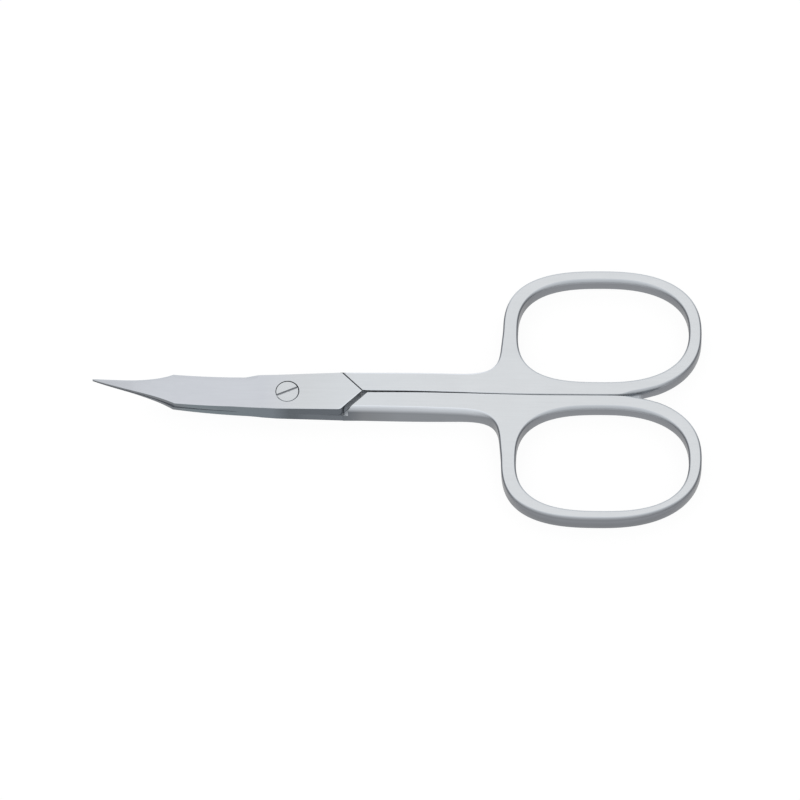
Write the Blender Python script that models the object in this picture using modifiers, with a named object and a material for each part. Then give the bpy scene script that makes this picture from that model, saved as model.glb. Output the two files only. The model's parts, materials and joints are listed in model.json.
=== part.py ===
"""Nail scissors: two forged steel halves that cross at one slotted pivot screw.

Lengths are in metres and +Z is up. Each half is drawn flat about the pivot axis, with z measured
from the plane between the halves. The lower half is the upper one turned over about the X axis.
Both blades are then bowed upwards by the same amount at the same distance from the pivot axis,
so they slide over each other at every opening angle.
"""

import math

import bmesh
import bpy
from mathutils import Matrix, Vector
from mathutils.geometry import interpolate_bezier

MM = 0.001

# Reach of both halves, measured along X from the pivot axis
TIP_REACH = 28.67 * MM
HANDLE_REACH = 61.33 * MM

# Joint: full thickness at the shanks, and the plates that lie face to face
JOINT_THICKNESS = 3.94 * MM
FACE_GAP = 0.3 * MM
PLATE_STEP = 0.04 * MM
PLATE_WIDTH = 6.16 * MM
PIVOT_WIDTH = 5.85 * MM
PIVOT_FLAT = 4.6 * MM
CHEVRON_REACH = 11.25 * MM
CHEVRON_ANGLE = math.radians(45)
SHOULDER_GAP = 0.8 * MM

# Blade: heel, tower shoulder and spire, with thickness from the parting plane to the outer face
HEEL_START = 3.8 * MM
HEEL_END = 6.3 * MM
HEEL_WIDTH = 2.75 * MM
HEEL_THICKNESS = 1.72 * MM
EDGE_HALF_WIDTH = 2.53 * MM
SPINE_HALF_WIDTH = 2.56 * MM
SHOULDER_THICKNESS = 1.01 * MM
SPIRE_LENGTH = 11.7 * MM
SPINE_ROOT_STEP = 0.37 * MM
SPIRE_THICKNESS = 0.49 * MM
TIP_THICKNESS = 0.3 * MM
TIP_HALF_WIDTH = 0.08 * MM
TIP_FACE_GAP = 0.12 * MM
EDGE_BEVEL_WIDTH = 0.4 * MM
EDGE_BEVEL_DROP = 0.2 * MM
EDGE_BREAK = 0.06 * MM
BEVEL_DEPTH_LIMIT = 0.6
BEVEL_WIDTH_LIMIT = 0.4
BOW_START = 6.0 * MM
TIP_RISE = 4.72 * MM

# Shank
SHANK_WIDTH = 3.08 * MM
SHANK_GAP = 0.54 * MM
SHANK_END = 24.9 * MM
EDGE_ROUNDING = 0.5 * MM
TAPER_START = 16.5 * MM
TAPER_INTO_RING = 7.4 * MM

# Finger ring
RING_GAP = 0.39 * MM
RING_FLAT = 0.36 * MM
RING_LENGTH = 29.54 * MM
RING_HEIGHT = 21.53 * MM
RING_THICKNESS = 2.49 * MM
RING_WALL_INNER = 2.43 * MM
RING_WALL_OUTER = 1.94 * MM
RING_WALL_FRONT = 2.2 * MM
RING_WALL_BACK = 1.89 * MM
FRONT_SQUARENESS = 2.75
HOLE_FRONT_SQUARENESS = 2.74
BACK_SQUARENESS = 2.4

# Pivot screw
HEAD_RADIUS = 1.72 * MM
HEAD_HEIGHT = 0.75 * MM
HEAD_RECESS = 0.03 * MM
SLOT_WIDTH = 0.42 * MM
SLOT_DEPTH = 0.4 * MM
SLOT_ANGLE = math.radians(24)
BARREL_RADIUS = 1.3 * MM
THREAD_RADIUS = 1.15 * MM
THREAD_DEPTH = 0.22 * MM
THREAD_PITCH = 0.4 * MM
SCREW_END_RECESS = 0.06 * MM
RUNNING_CLEARANCE = 0.08 * MM
SEAT_CLEARANCE = 0.06 * MM

# Pulls of the curve handles, as shares of the curve's own length and height
SPIRE_TIP_PULL = Vector((0.33, 0.27))
SPIRE_ROOT_PULL = Vector((0.36, 0.65))
FILLET_WALL_PULL = Vector((0.1, 0.7))
FILLET_SHANK_PULL = 1.08

# Fineness of the facets
RING_POINTS = 17
FILLET_POINTS = 9
SPIRE_POINTS = 8
ROUND_SEGMENTS = 3
SCREW_SEGMENTS = 36
THREAD_ROWS = 5
TAPER_CUTS = 12
BLADE_CUTS = 4
SHARP_ANGLE = math.radians(32)

# Places that follow from the sizes above
MID_Z = JOINT_THICKNESS / 2
PIVOT_X = (TIP_REACH - HANDLE_REACH) / 2
APEX = Vector((CHEVRON_REACH, SHANK_GAP / 2))
STEP_REACH = APEX.x + APEX.y / math.tan(CHEVRON_ANGLE)
SHOULDER_REACH = APEX.x - APEX.y / math.tan(CHEVRON_ANGLE) + SHOULDER_GAP / math.sin(CHEVRON_ANGLE)
SPIRE_ROOT = TIP_REACH - SPIRE_LENGTH
RING_FRONT = HANDLE_REACH - RING_LENGTH
RING_CENTRE = Vector((RING_FRONT + RING_LENGTH / 2, RING_HEIGHT / 2 + RING_GAP / 2 - RING_FLAT))

# Weld distance, overshoot of the cutters, and how deep joined shapes reach into each other
WELD = 1e-7
CLEAR = 5 * MM
BURIED = 0.45 * MM


def interpolate(x, stations):
    """Value at x on straight lines through (x, value) stations, given in rising x."""
    for (x0, v0), (x1, v1) in zip(stations, stations[1:]):
        if x <= x1:
            return v0 + (v1 - v0) * max(0.0, (x - x0) / (x1 - x0))
    return stations[-1][1]


def bezier(start, start_handle, stop_handle, stop, count):
    """Points along a flat Bezier curve, both ends included."""
    corners = [place.to_3d() for place in (start, start_handle, stop_handle, stop)]
    return [point.to_2d() for point in interpolate_bezier(*corners, count)]


def smooth_step(t):
    """Ease from 0 to 1 with level ends."""
    t = min(1.0, max(0.0, t))
    return t * t * (3 - 2 * t)


def outer_face(x):
    """Height of the lap's outer face above the parting plane."""
    return interpolate(x, [
        (-TIP_REACH, TIP_THICKNESS),
        (-(SPIRE_ROOT + TIP_REACH) / 2, SPIRE_THICKNESS),
        (-SPIRE_ROOT, SHOULDER_THICKNESS),
        (-HEEL_START, HEEL_THICKNESS),
        (CHEVRON_REACH, JOINT_THICKNESS / 2 - PLATE_STEP),
    ])


def inner_face(x):
    """Height of the lap's inner face above the parting plane."""
    return interpolate(x, [(-TIP_REACH, TIP_FACE_GAP / 2), (-SPIRE_ROOT, FACE_GAP / 2)])


def plate_stations():
    """Half widths of the plate, from the heel past the pivot to the chevron."""
    return [
        (-HEEL_START, HEEL_WIDTH),
        (-PIVOT_FLAT / 2, PIVOT_WIDTH / 2),
        (PIVOT_FLAT / 2, PIVOT_WIDTH / 2),
        (CHEVRON_REACH, PLATE_WIDTH / 2),
    ]


def spire_side(length, root_half_width):
    """Stations (x, half width) of one concave side of the spire, from the tip to its root."""
    size = Vector((length, root_half_width))
    tip = Vector((-TIP_REACH, TIP_HALF_WIDTH))
    root = Vector((length - TIP_REACH, root_half_width))
    side = bezier(tip, tip + size * SPIRE_TIP_PULL, root - size * SPIRE_ROOT_PULL, root, SPIRE_POINTS)
    return [(point.x, point.y) for point in side]


def spine(x):
    """Distance of the blade's back from the centre line."""
    return interpolate(x, spire_side(SPIRE_LENGTH + SPINE_ROOT_STEP, SPINE_HALF_WIDTH) + plate_stations())


def cutting_edge(x):
    """Distance of the cutting side from the centre line."""
    blade = spire_side(SPIRE_LENGTH, EDGE_HALF_WIDTH) + [(-HEEL_END, EDGE_HALF_WIDTH)]
    return interpolate(x, blade + plate_stations())


def lap_section(x, edge, back):
    """Five corners of the blade or plate at x, from its cutting edge round to its bevel."""
    low, high = inner_face(x), outer_face(x)
    ground = smooth_step((-x - HEEL_START) / (HEEL_END - HEEL_START))
    drop = EDGE_BREAK + (EDGE_BEVEL_DROP - EDGE_BREAK) * ground
    width = EDGE_BREAK + (EDGE_BEVEL_WIDTH - EDGE_BREAK) * ground
    drop = min(drop, (high - low) * BEVEL_DEPTH_LIMIT)
    width = min(width, (edge + back) * BEVEL_WIDTH_LIMIT)
    under_side = [(x, edge, low), (x, -back, low)]
    return under_side + [(x, -back, high), (x, edge - width, high), (x, edge, high - drop)]


def lap_sections():
    """Sections of blade and plate from the tip to the apex of the chevron."""
    spire = [x for x, _ in spire_side(SPIRE_LENGTH, EDGE_HALF_WIDTH)]
    slope = math.tan(CHEVRON_ANGLE)
    free_corner = APEX.x - (APEX.y + PLATE_WIDTH / 2) / slope
    step_corner = STEP_REACH - PLATE_WIDTH / 2 / slope
    spine_root = SPINE_ROOT_STEP - SPIRE_ROOT
    blade = [spine_root - (HEEL_END + spine_root) * i / BLADE_CUTS for i in range(BLADE_CUTS + 1)]
    places = spire + blade + [-HEEL_START, -PIVOT_FLAT / 2, PIVOT_FLAT / 2, free_corner]
    sections = [lap_section(x, cutting_edge(x), spine(x)) for x in places]
    inner_edge = PLATE_WIDTH / 2 - BURIED
    diagonal = [(step_corner, PLATE_WIDTH / 2), (step_corner + EDGE_ROUNDING, inner_edge)]
    for x, edge in diagonal + [(APEX.x, inner_edge)]:
        sections.append(lap_section(x, edge, (APEX.x - x) * slope - APEX.y))
    sections.append(lap_section(SHOULDER_REACH + EDGE_ROUNDING, inner_edge, -APEX.y - BURIED))
    return sections


def superellipse(length, height, squareness, start, stop, count):
    """Points on a superellipse of the given full size between two angles."""
    points = []
    for i in range(count):
        angle = start + (stop - start) * i / (count - 1)
        c, s = math.cos(angle), math.sin(angle)
        power = 2 / squareness
        points.append(Vector((math.copysign(abs(c) ** power * length / 2, c),
                              math.copysign(abs(s) ** power * height / 2, s))))
    return points


def ring_outline():
    """Outside of the finger ring, from its inner side round the back to its front wall."""
    quarter = math.pi / 2
    back = superellipse(RING_LENGTH, RING_HEIGHT, BACK_SQUARENESS, -quarter, quarter, 2 * RING_POINTS - 1)
    front = superellipse(RING_LENGTH, RING_HEIGHT, FRONT_SQUARENESS, quarter, 2 * quarter, RING_POINTS)
    return [RING_CENTRE + point for point in back + front[1:]]


def ring_hole():
    """Inside of the finger ring."""
    length = RING_LENGTH - RING_WALL_FRONT - RING_WALL_BACK
    height = RING_HEIGHT - RING_WALL_INNER - RING_WALL_OUTER
    centre = RING_CENTRE + Vector((RING_WALL_FRONT - RING_WALL_BACK, RING_WALL_INNER - RING_WALL_OUTER)) / 2
    quarter = math.pi / 2
    back = superellipse(length, height, BACK_SQUARENESS, -quarter, quarter, 2 * RING_POINTS - 1)
    front = superellipse(length, height, HOLE_FRONT_SQUARENESS, quarter, 3 * quarter, 2 * RING_POINTS - 1)
    return [centre + point for point in back + front[1:-1]]


def handle_outline():
    """Outside of shank and ring, from the shank's inner corner round the ring and back."""
    root_x = CHEVRON_REACH / 2
    ring = ring_outline()
    wall = ring[-1]
    start = Vector((SHANK_END, SHANK_GAP / 2 + SHANK_WIDTH))
    size = wall - start
    shank_handle = start + Vector((size.x * FILLET_SHANK_PULL, 0))
    fillet = bezier(wall, wall - size * FILLET_WALL_PULL, shank_handle, start, FILLET_POINTS)
    buried_side = ring[0].y - 3 * EDGE_ROUNDING
    inner_side = [Vector((root_x, buried_side)), Vector((wall.x, buried_side))]
    outer_side = [Vector((CHEVRON_REACH, PLATE_WIDTH / 2)), Vector((root_x, PLATE_WIDTH / 2))]
    return inner_side + ring + fillet[1:] + outer_side


def add_object(name, mesh, collection):
    """Link a new object with the given mesh."""
    made = bpy.data.objects.new(name, mesh)
    collection.objects.link(made)
    return made


def extruded(name, outlines, half_thickness, rounding=0.0):
    """Solid of a flat outline with holes, centred on z = 0, its rims rounded by rounding."""
    curve = bpy.data.curves.new(name, 'CURVE')
    curve.dimensions = '2D'
    curve.fill_mode = 'BOTH'
    curve.extrude = half_thickness - rounding
    curve.bevel_depth = rounding
    curve.bevel_resolution = ROUND_SEGMENTS - 1
    curve.offset = -rounding
    for outline in outlines:
        spline = curve.splines.new('POLY')
        spline.points.add(len(outline) - 1)
        spline.use_cyclic_u = True
        for point, place in zip(spline.points, outline):
            point.co = (place.x, place.y, 0, 1)
    source = add_object(name, curve, bpy.context.scene.collection)
    graph = bpy.context.evaluated_depsgraph_get()
    mesh = bpy.data.meshes.new_from_object(source.evaluated_get(graph))
    bpy.data.objects.remove(source)
    edited = bmesh.new()
    edited.from_mesh(mesh)
    bmesh.ops.remove_doubles(edited, verts=edited.verts, dist=WELD)
    bmesh.ops.recalc_face_normals(edited, faces=edited.faces)
    edited.to_mesh(mesh)
    edited.free()
    return mesh


def lofted(name, sections):
    """Solid through sections that have equally many corners."""
    edited = bmesh.new()
    rings = [[edited.verts.new(corner) for corner in section] for section in sections]
    for ring, following in zip(rings, rings[1:]):
        for i in range(len(ring)):
            j = (i + 1) % len(ring)
            edited.faces.new((ring[i], ring[j], following[j], following[i]))
    edited.faces.new(rings[0])
    edited.faces.new(rings[-1])
    bmesh.ops.recalc_face_normals(edited, faces=edited.faces)
    mesh = bpy.data.meshes.new(name)
    edited.to_mesh(mesh)
    edited.free()
    return mesh


def turned(name, profile):
    """Solid turned about Z from a profile of (radius, z), given from top to bottom."""
    mesh = bpy.data.meshes.new(name)
    edges = [(i, i + 1) for i in range(len(profile) - 1)]
    mesh.from_pydata([(radius, 0, z) for radius, z in profile], edges, [])
    source = add_object(name, mesh, bpy.context.scene.collection)
    turn = source.modifiers.new('turn', 'SCREW')
    turn.steps = SCREW_SEGMENTS
    turn.render_steps = SCREW_SEGMENTS
    turn.use_merge_vertices = True
    turn.merge_threshold = WELD
    graph = bpy.context.evaluated_depsgraph_get()
    made = bpy.data.meshes.new_from_object(source.evaluated_get(graph))
    bpy.data.objects.remove(source)
    edited = bmesh.new()
    edited.from_mesh(made)
    bmesh.ops.remove_doubles(edited, verts=edited.verts, dist=WELD)
    bmesh.ops.recalc_face_normals(edited, faces=edited.faces)
    edited.to_mesh(made)
    edited.free()
    return made


def boolean(target, cutter, operation):
    """Join cutter's shape to target's, or cut it away."""
    step = target.modifiers.new(cutter.name, 'BOOLEAN')
    step.object = cutter
    step.operation = operation
    step.solver = 'EXACT'


def apply_modifiers(target):
    """Replace an object's mesh by the mesh its modifiers make."""
    graph = bpy.context.evaluated_depsgraph_get()
    mesh = bpy.data.meshes.new_from_object(target.evaluated_get(graph))
    target.modifiers.clear()
    target.data = mesh


def mark_cutter(cutter):
    """Show a cutter as wire and keep it out of the model."""
    cutter.display_type = 'WIRE'
    cutter.hide_render = True


def thin_towards_ring(mesh):
    """Bring the handle's thickness down from the joint's to the ring's, with its rounding kept."""
    start, stop = TAPER_START, RING_FRONT + TAPER_INTO_RING
    edited = bmesh.new()
    edited.from_mesh(mesh)
    for i in range(TAPER_CUTS + 1):
        plane = Vector((start + (stop - start) * i / TAPER_CUTS, 0, 0))
        everything = edited.verts[:] + edited.edges[:] + edited.faces[:]
        bmesh.ops.bisect_plane(edited, geom=everything, dist=WELD, plane_co=plane, plane_no=(1, 0, 0))
    for vertex in edited.verts:
        share = smooth_step((vertex.co.x - start) / (stop - start))
        inset = share * (JOINT_THICKNESS - RING_THICKNESS) / 2
        vertex.co.z -= math.copysign(inset, vertex.co.z)
    edited.to_mesh(mesh)
    edited.free()


def parting_cutter(name, cutters):
    """Block that takes the handle back to its half of the gap between the two handles."""
    end = HANDLE_REACH + CLEAR
    ring_side = [Vector((end, RING_GAP / 2)), Vector((RING_FRONT, RING_GAP / 2))]
    outline = [Vector((0, -CLEAR)), Vector((end, -CLEAR))] + ring_side + [APEX, Vector((0, APEX.y))]
    cutter = add_object(name, extruded(name, [outline], JOINT_THICKNESS), cutters)
    mark_cutter(cutter)
    return cutter


def chevron_cutter(name, reach, low, high, cutters):
    """Block that covers all that lies on the pivot's side of a diagonal through (reach, 0)."""
    lean = CLEAR / math.tan(CHEVRON_ANGLE)
    diagonal = [Vector((reach + lean, -CLEAR)), Vector((reach - lean, CLEAR))]
    outline = [Vector((-CLEAR, -CLEAR))] + diagonal + [Vector((-CLEAR, CLEAR))]
    cutter = add_object(name, extruded(name, [outline], (high - low) / 2), cutters)
    cutter.location.z = (low + high) / 2
    mark_cutter(cutter)
    return cutter


def half_blank(name, parts, cutters):
    """One half, flat and without its screw hole, with its handle on the +Y side."""
    outlines = [handle_outline(), ring_hole()]
    handle_mesh = extruded(name + '_handle', outlines, JOINT_THICKNESS / 2, EDGE_ROUNDING)
    thin_towards_ring(handle_mesh)
    half = add_object(name, handle_mesh, parts)
    parting = parting_cutter(name + '_parting', cutters)
    above = chevron_cutter(name + '_step', STEP_REACH, 0, CLEAR, cutters)
    plate_middle = JOINT_THICKNESS / 4
    below = chevron_cutter(name + '_shoulder', SHOULDER_REACH, -CLEAR, plate_middle, cutters)
    lap = add_object(name + '_lap', lofted(name + '_lap', lap_sections()), cutters)
    mark_cutter(lap)
    boolean(half, parting, 'DIFFERENCE')
    boolean(half, above, 'DIFFERENCE')
    boolean(half, below, 'DIFFERENCE')
    boolean(half, lap, 'UNION')
    apply_modifiers(half)
    return half


def bow(mesh):
    """Bend the blade upwards along an arc that starts at BOW_START from the pivot axis."""
    arc_radius = (TIP_REACH - BOW_START) ** 2 / (2 * TIP_RISE)
    for vertex in mesh.vertices:
        distance = math.hypot(vertex.co.x, vertex.co.y)
        if vertex.co.x < 0 and distance > BOW_START:
            vertex.co.z += (distance - BOW_START) ** 2 / (2 * arc_radius)


def thread_rows(top, bottom):
    """Heights of the thread's rows between top and bottom."""
    spacing = THREAD_PITCH / THREAD_ROWS
    count = int((top - bottom) / spacing)
    return [top - spacing * (i + 0.5) for i in range(count)]


def cut_thread(mesh, rows, radius):
    """Give the turned rows the wave of a single-start thread with its crests at radius."""
    for vertex in mesh.vertices:
        if any(abs(vertex.co.z - row) < WELD for row in rows):
            turn = math.atan2(vertex.co.y, vertex.co.x) / (2 * math.pi)
            phase = (vertex.co.z / THREAD_PITCH - turn) % 1.0
            local = radius - THREAD_DEPTH * abs(2 * phase - 1)
            direction = Vector((vertex.co.x, vertex.co.y)).normalized()
            vertex.co.x, vertex.co.y = direction * local


def pivot_screw(parts, cutters):
    """Slotted screw whose head lies in the upper plate and whose thread holds the lower plate."""
    head_top = outer_face(0) - HEAD_RECESS
    head_bottom = head_top - HEAD_HEIGHT
    barrel_end = -FACE_GAP / 2 + SEAT_CLEARANCE
    tip = -outer_face(0) + SCREW_END_RECESS
    core = THREAD_RADIUS - THREAD_DEPTH
    rows = thread_rows(barrel_end, tip)
    head = [(0, head_top), (HEAD_RADIUS - EDGE_BREAK, head_top), (HEAD_RADIUS, head_top - EDGE_BREAK)]
    barrel = [(HEAD_RADIUS, head_bottom), (BARREL_RADIUS, head_bottom), (BARREL_RADIUS, barrel_end)]
    thread = [(core, z) for z in [barrel_end] + rows + [tip]]
    mesh = turned('pivot_screw', head + barrel + thread + [(0, tip)])
    cut_thread(mesh, rows, THREAD_RADIUS)
    screw = add_object('pivot_screw', mesh, parts)
    bpy.ops.mesh.primitive_cube_add(size=1)
    slot = bpy.context.active_object
    slot.name = 'screw_slot'
    slot.data.transform(Matrix.Diagonal((HEAD_RADIUS * 2 + CLEAR, SLOT_WIDTH, SLOT_DEPTH * 2, 1)))
    slot.data.transform(Matrix.Rotation(SLOT_ANGLE, 4, 'Z'))
    slot.data.transform(Matrix.Translation((0, 0, head_top)))
    move_to_collection(slot, cutters)
    mark_cutter(slot)
    boolean(screw, slot, 'DIFFERENCE')
    apply_modifiers(screw)
    return screw


def move_to_collection(item, collection):
    """Link an object to one collection only."""
    for holder in item.users_collection:
        holder.objects.unlink(item)
    collection.objects.link(item)


def screw_well(cutters):
    """Cutter for the head's counterbore and the barrel's running hole in the upper plate."""
    floor = outer_face(0) - HEAD_RECESS - HEAD_HEIGHT - SEAT_CLEARANCE
    wide, narrow = HEAD_RADIUS + RUNNING_CLEARANCE, BARREL_RADIUS + RUNNING_CLEARANCE
    profile = [(0, CLEAR), (wide, CLEAR), (wide, floor), (narrow, floor), (narrow, 0), (0, 0)]
    well = add_object('screw_well', turned('screw_well', profile), cutters)
    mark_cutter(well)
    return well


def tapped_hole(cutters):
    """Cutter for the threaded hole in the lower plate."""
    top, bottom = -FACE_GAP / 2 + SEAT_CLEARANCE, -outer_face(0) - THREAD_PITCH
    core = THREAD_RADIUS - THREAD_DEPTH + RUNNING_CLEARANCE
    rows = thread_rows(top, bottom)
    profile = [(0, top), (core, top)] + [(core, z) for z in rows] + [(core, bottom), (0, bottom)]
    mesh = turned('tapped_hole', profile)
    cut_thread(mesh, rows, THREAD_RADIUS + RUNNING_CLEARANCE)
    hole = add_object('tapped_hole', mesh, cutters)
    mark_cutter(hole)
    return hole


def steel(name, colour, roughness):
    """Stainless steel with the given tone."""
    material = bpy.data.materials.new(name)
    material.use_nodes = True
    shader = material.node_tree.nodes['Principled BSDF']
    shader.inputs['Base Color'].default_value = (*colour, 1)
    shader.inputs['Metallic'].default_value = 1
    shader.inputs['Roughness'].default_value = roughness
    return material


def finish(part, material):
    """Give a part its material, its smooth shading and its place on the pivot axis."""
    part.data.materials.clear()
    part.data.materials.append(material)
    part.data.shade_smooth()
    part.data.set_sharp_from_angle(angle=SHARP_ANGLE)
    part.location = (PIVOT_X, 0, MID_Z)


def main():
    """Build the scissors in an empty scene."""
    for item in list(bpy.data.objects):
        bpy.data.objects.remove(item)
    parts = bpy.data.collections.new('nail_scissors')
    cutters = bpy.data.collections.new('cutters')
    bpy.context.scene.collection.children.link(parts)
    bpy.context.scene.collection.children.link(cutters)

    upper = half_blank('upper_half', parts, cutters)
    lower = add_object('lower_half', upper.data.copy(), parts)
    lower.data.transform(Matrix.Rotation(math.pi, 4, 'X'))
    boolean(upper, screw_well(cutters), 'DIFFERENCE')
    boolean(lower, tapped_hole(cutters), 'DIFFERENCE')
    apply_modifiers(upper)
    apply_modifiers(lower)
    bow(upper.data)
    bow(lower.data)
    screw = pivot_screw(parts, cutters)

    satin = steel('satin_stainless', (0.62, 0.63, 0.65), 0.34)
    bright = steel('screw_stainless', (0.66, 0.67, 0.68), 0.28)
    finish(upper, satin)
    finish(lower, satin)
    finish(screw, bright)


main()
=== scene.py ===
"""Looks of the nail scissors: two satin-ground steel halves that turn on one slotted screw.

Each half is drawn flat about the pivot axis, with z measured from the plane between the halves, and
with its handle on the +Y side. The lower half is the same blank turned over about the X axis. Both
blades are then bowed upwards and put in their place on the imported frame. Lengths are in metres.
"""

from __future__ import annotations

import json
import logging
import math
from dataclasses import dataclass, field
from enum import Enum
from typing import Iterable, Sequence

import bmesh
import bpy
import numpy as np
from mathutils import Matrix, Vector
from mathutils.geometry import delaunay_2d_cdt, interpolate_bezier

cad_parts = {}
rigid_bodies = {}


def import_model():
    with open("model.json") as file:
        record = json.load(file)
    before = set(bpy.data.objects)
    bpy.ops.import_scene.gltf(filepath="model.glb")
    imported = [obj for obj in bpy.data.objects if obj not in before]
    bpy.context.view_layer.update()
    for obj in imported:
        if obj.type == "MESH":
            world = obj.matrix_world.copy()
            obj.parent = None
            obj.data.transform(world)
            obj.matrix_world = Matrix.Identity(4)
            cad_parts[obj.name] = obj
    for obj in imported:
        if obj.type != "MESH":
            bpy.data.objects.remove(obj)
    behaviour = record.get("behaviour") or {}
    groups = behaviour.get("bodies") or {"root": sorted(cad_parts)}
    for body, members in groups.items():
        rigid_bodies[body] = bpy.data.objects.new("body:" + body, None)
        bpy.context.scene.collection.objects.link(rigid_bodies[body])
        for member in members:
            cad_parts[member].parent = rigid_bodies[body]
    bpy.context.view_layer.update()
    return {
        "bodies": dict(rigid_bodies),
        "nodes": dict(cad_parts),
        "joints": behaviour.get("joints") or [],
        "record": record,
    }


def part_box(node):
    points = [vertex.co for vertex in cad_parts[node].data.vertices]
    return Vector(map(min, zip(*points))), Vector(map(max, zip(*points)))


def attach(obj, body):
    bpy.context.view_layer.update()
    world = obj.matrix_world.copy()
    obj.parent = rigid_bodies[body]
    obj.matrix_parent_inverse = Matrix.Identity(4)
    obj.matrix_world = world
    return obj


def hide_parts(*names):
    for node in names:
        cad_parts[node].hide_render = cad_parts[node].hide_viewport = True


LOG = logging.getLogger("nail_scissors")
MM = 0.001
# Points closer than this are one point, in a mesh and in the finer triangulation of a flat face.
WELD = 1e-7
FINE_WELD = 1e-9
# Corner attribute that tells how far a surface faces up or down, from which the material paints darker shade
# on flanks and rims and a painted sheen on some walls.
SHADE_LAY = "shade_lay"
# The shade lay of an upright flank, which gets the darkest painted shade, of a level face, and of the wall
# along the gap, which gets a painted sheen.
UPRIGHT, LEVEL, GAP_SHEEN_LAY = 0.0, 1.0, 2.0
# Corners of the groove's cutter, in groove widths away from the pivot and groove depths up.
GROOVE_SECTION = ((-1.0, 1.0), (1.0, 1.0), (0.5, 0.0), (-0.25, -1.0), (-0.5, 0.0))
# Option of delaunay_2d_cdt that keeps only the triangles inside the outer loop.
TRIANGLES_WITHIN = 1
WHITE = (1.0, 1.0, 1.0, 1.0)


class Half(Enum):
    """The two halves, by the name of the frame node that each stands for."""

    UPPER = "upper_half"
    LOWER = "lower_half"

    @property
    def body(self) -> str:
        """Name of the moving body that carries this half."""
        return "upper_body" if self is Half.UPPER else "lower_body"

    @property
    def turn(self) -> Matrix:
        """Turn that lays the flat blank as this half."""
        return Matrix.Rotation(0.0 if self is Half.UPPER else math.pi, 4, "X")

    @property
    def side(self) -> int:
        """Sign of Y and Z in the blank for what lies at +Y and up in the laid half."""
        return 1 if self is Half.UPPER else -1


class Slot(Enum):
    """Material slots of the record."""

    SATIN = "satin_stainless"
    SCREW = "screw_stainless"


def smooth_step(t: float) -> float:
    """Ease from 0 to 1 with level ends."""
    t = min(1.0, max(0.0, t))
    return t * t * (3 - 2 * t)


def along(x: float, stations: Sequence[tuple[float, float]]) -> float:
    """Value at x on straight lines through (x, value) stations, given in rising x."""
    return float(np.interp(x, [place for place, _ in stations], [value for _, value in stations]))


def resampled(points: Sequence[Vector], spacing: float) -> list[Vector]:
    """Lay points at even steps along a polyline.

    Args:
        points: Corners of the polyline.
        spacing: Wanted step between points.

    Returns:
        The even points, the first and the last corner included.
    """
    corners = np.array([tuple(point) for point in points])
    reach = np.concatenate([[0.0], np.cumsum(np.linalg.norm(np.diff(corners, axis=0), axis=1))])
    steps = max(1, round(reach[-1] / spacing))
    places = np.linspace(0.0, reach[-1], steps + 1)
    return [Vector([np.interp(place, reach, corners[:, axis]) for axis in (0, 1)])
            for place in places]


def superellipse(size: Vector, squareness: float, start: float, stop: float,
                 count: int) -> list[Vector]:
    """Points on a superellipse.

    Args:
        size: Full length and height.
        squareness: Exponent, where 2 is an ellipse.
        start: First angle.
        stop: Last angle.
        count: Number of points.

    Returns:
        The points in the order of their angles.
    """
    points = []
    for angle in np.linspace(start, stop, count):
        c, s = math.cos(angle), math.sin(angle)
        x = math.copysign(abs(c) ** (2 / squareness), c)
        y = math.copysign(abs(s) ** (2 / squareness), s)
        points.append(Vector((x * size.x / 2, y * size.y / 2)))
    return points


def bezier(start: Vector, start_handle: Vector, stop_handle: Vector, stop: Vector,
           count: int) -> list[Vector]:
    """Points along a flat Bezier curve, both ends included."""
    corners = [place.to_3d() for place in (start, start_handle, stop_handle, stop)]
    return [point.to_2d() for point in interpolate_bezier(*corners, count)]


def joined_rows(edited: bmesh.types.BMesh, rows: Sequence[Sequence[bmesh.types.BMVert]]) -> None:
    """Span faces between neighbouring closed rows of equally many corners.

    Args:
        edited: Mesh that gets the faces.
        rows: Closed rows of corners, in order.
    """
    for row, following in zip(rows, rows[1:]):
        for i, corner in enumerate(row):
            j = (i + 1) % len(row)
            edited.faces.new((corner, row[j], following[j], following[i]))


def mesh_from(edited: bmesh.types.BMesh, name: str) -> bpy.types.Mesh:
    """Weld and close off an edited mesh, with its faces pointing out.

    Args:
        edited: The mesh being edited, which is freed.
        name: Name of the new mesh.

    Returns:
        The finished mesh.
    """
    bmesh.ops.remove_doubles(edited, verts=edited.verts, dist=WELD)
    bmesh.ops.recalc_face_normals(edited, faces=edited.faces)
    mesh = bpy.data.meshes.new(name)
    edited.to_mesh(mesh)
    edited.free()
    return mesh


def lofted(sections: Sequence[Sequence[Vector]], name: str) -> bpy.types.Mesh:
    """Solid through sections that have equally many corners.

    Args:
        sections: Closed sections in order.
        name: Name of the new mesh.

    Returns:
        The solid, capped at both ends.
    """
    edited = bmesh.new()
    rings = [[edited.verts.new(corner) for corner in section] for section in sections]
    joined_rows(edited, rings)
    edited.faces.new(rings[0])
    edited.faces.new(rings[-1])
    return mesh_from(edited, name)


def turned(profile: Sequence[tuple[float, float]], facets: int, name: str) -> bpy.types.Mesh:
    """Solid turned about Z.

    Args:
        profile: (radius, z) corners from the axis round to the axis again.
        facets: Number of facets round the axis.
        name: Name of the new mesh.

    Returns:
        The turned solid.
    """
    edited = bmesh.new()
    corners = [edited.verts.new((radius, 0, z)) for radius, z in profile]
    edges = [edited.edges.new(pair) for pair in zip(corners, corners[1:])]
    bmesh.ops.spin(edited, geom=corners + edges, axis=(0, 0, 1), cent=(0, 0, 0), angle=2 * math.pi,
                   steps=facets, use_merge=True)
    return mesh_from(edited, name)


def add_object(data: bpy.types.ID, name: str) -> bpy.types.Object:
    """Link a new object to the scene.

    Args:
        data: Mesh, lamp or camera that the object shows.
        name: Name of the object.

    Returns:
        The new object.
    """
    made = bpy.data.objects.new(name, data)
    bpy.context.scene.collection.objects.link(made)
    return made


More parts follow.
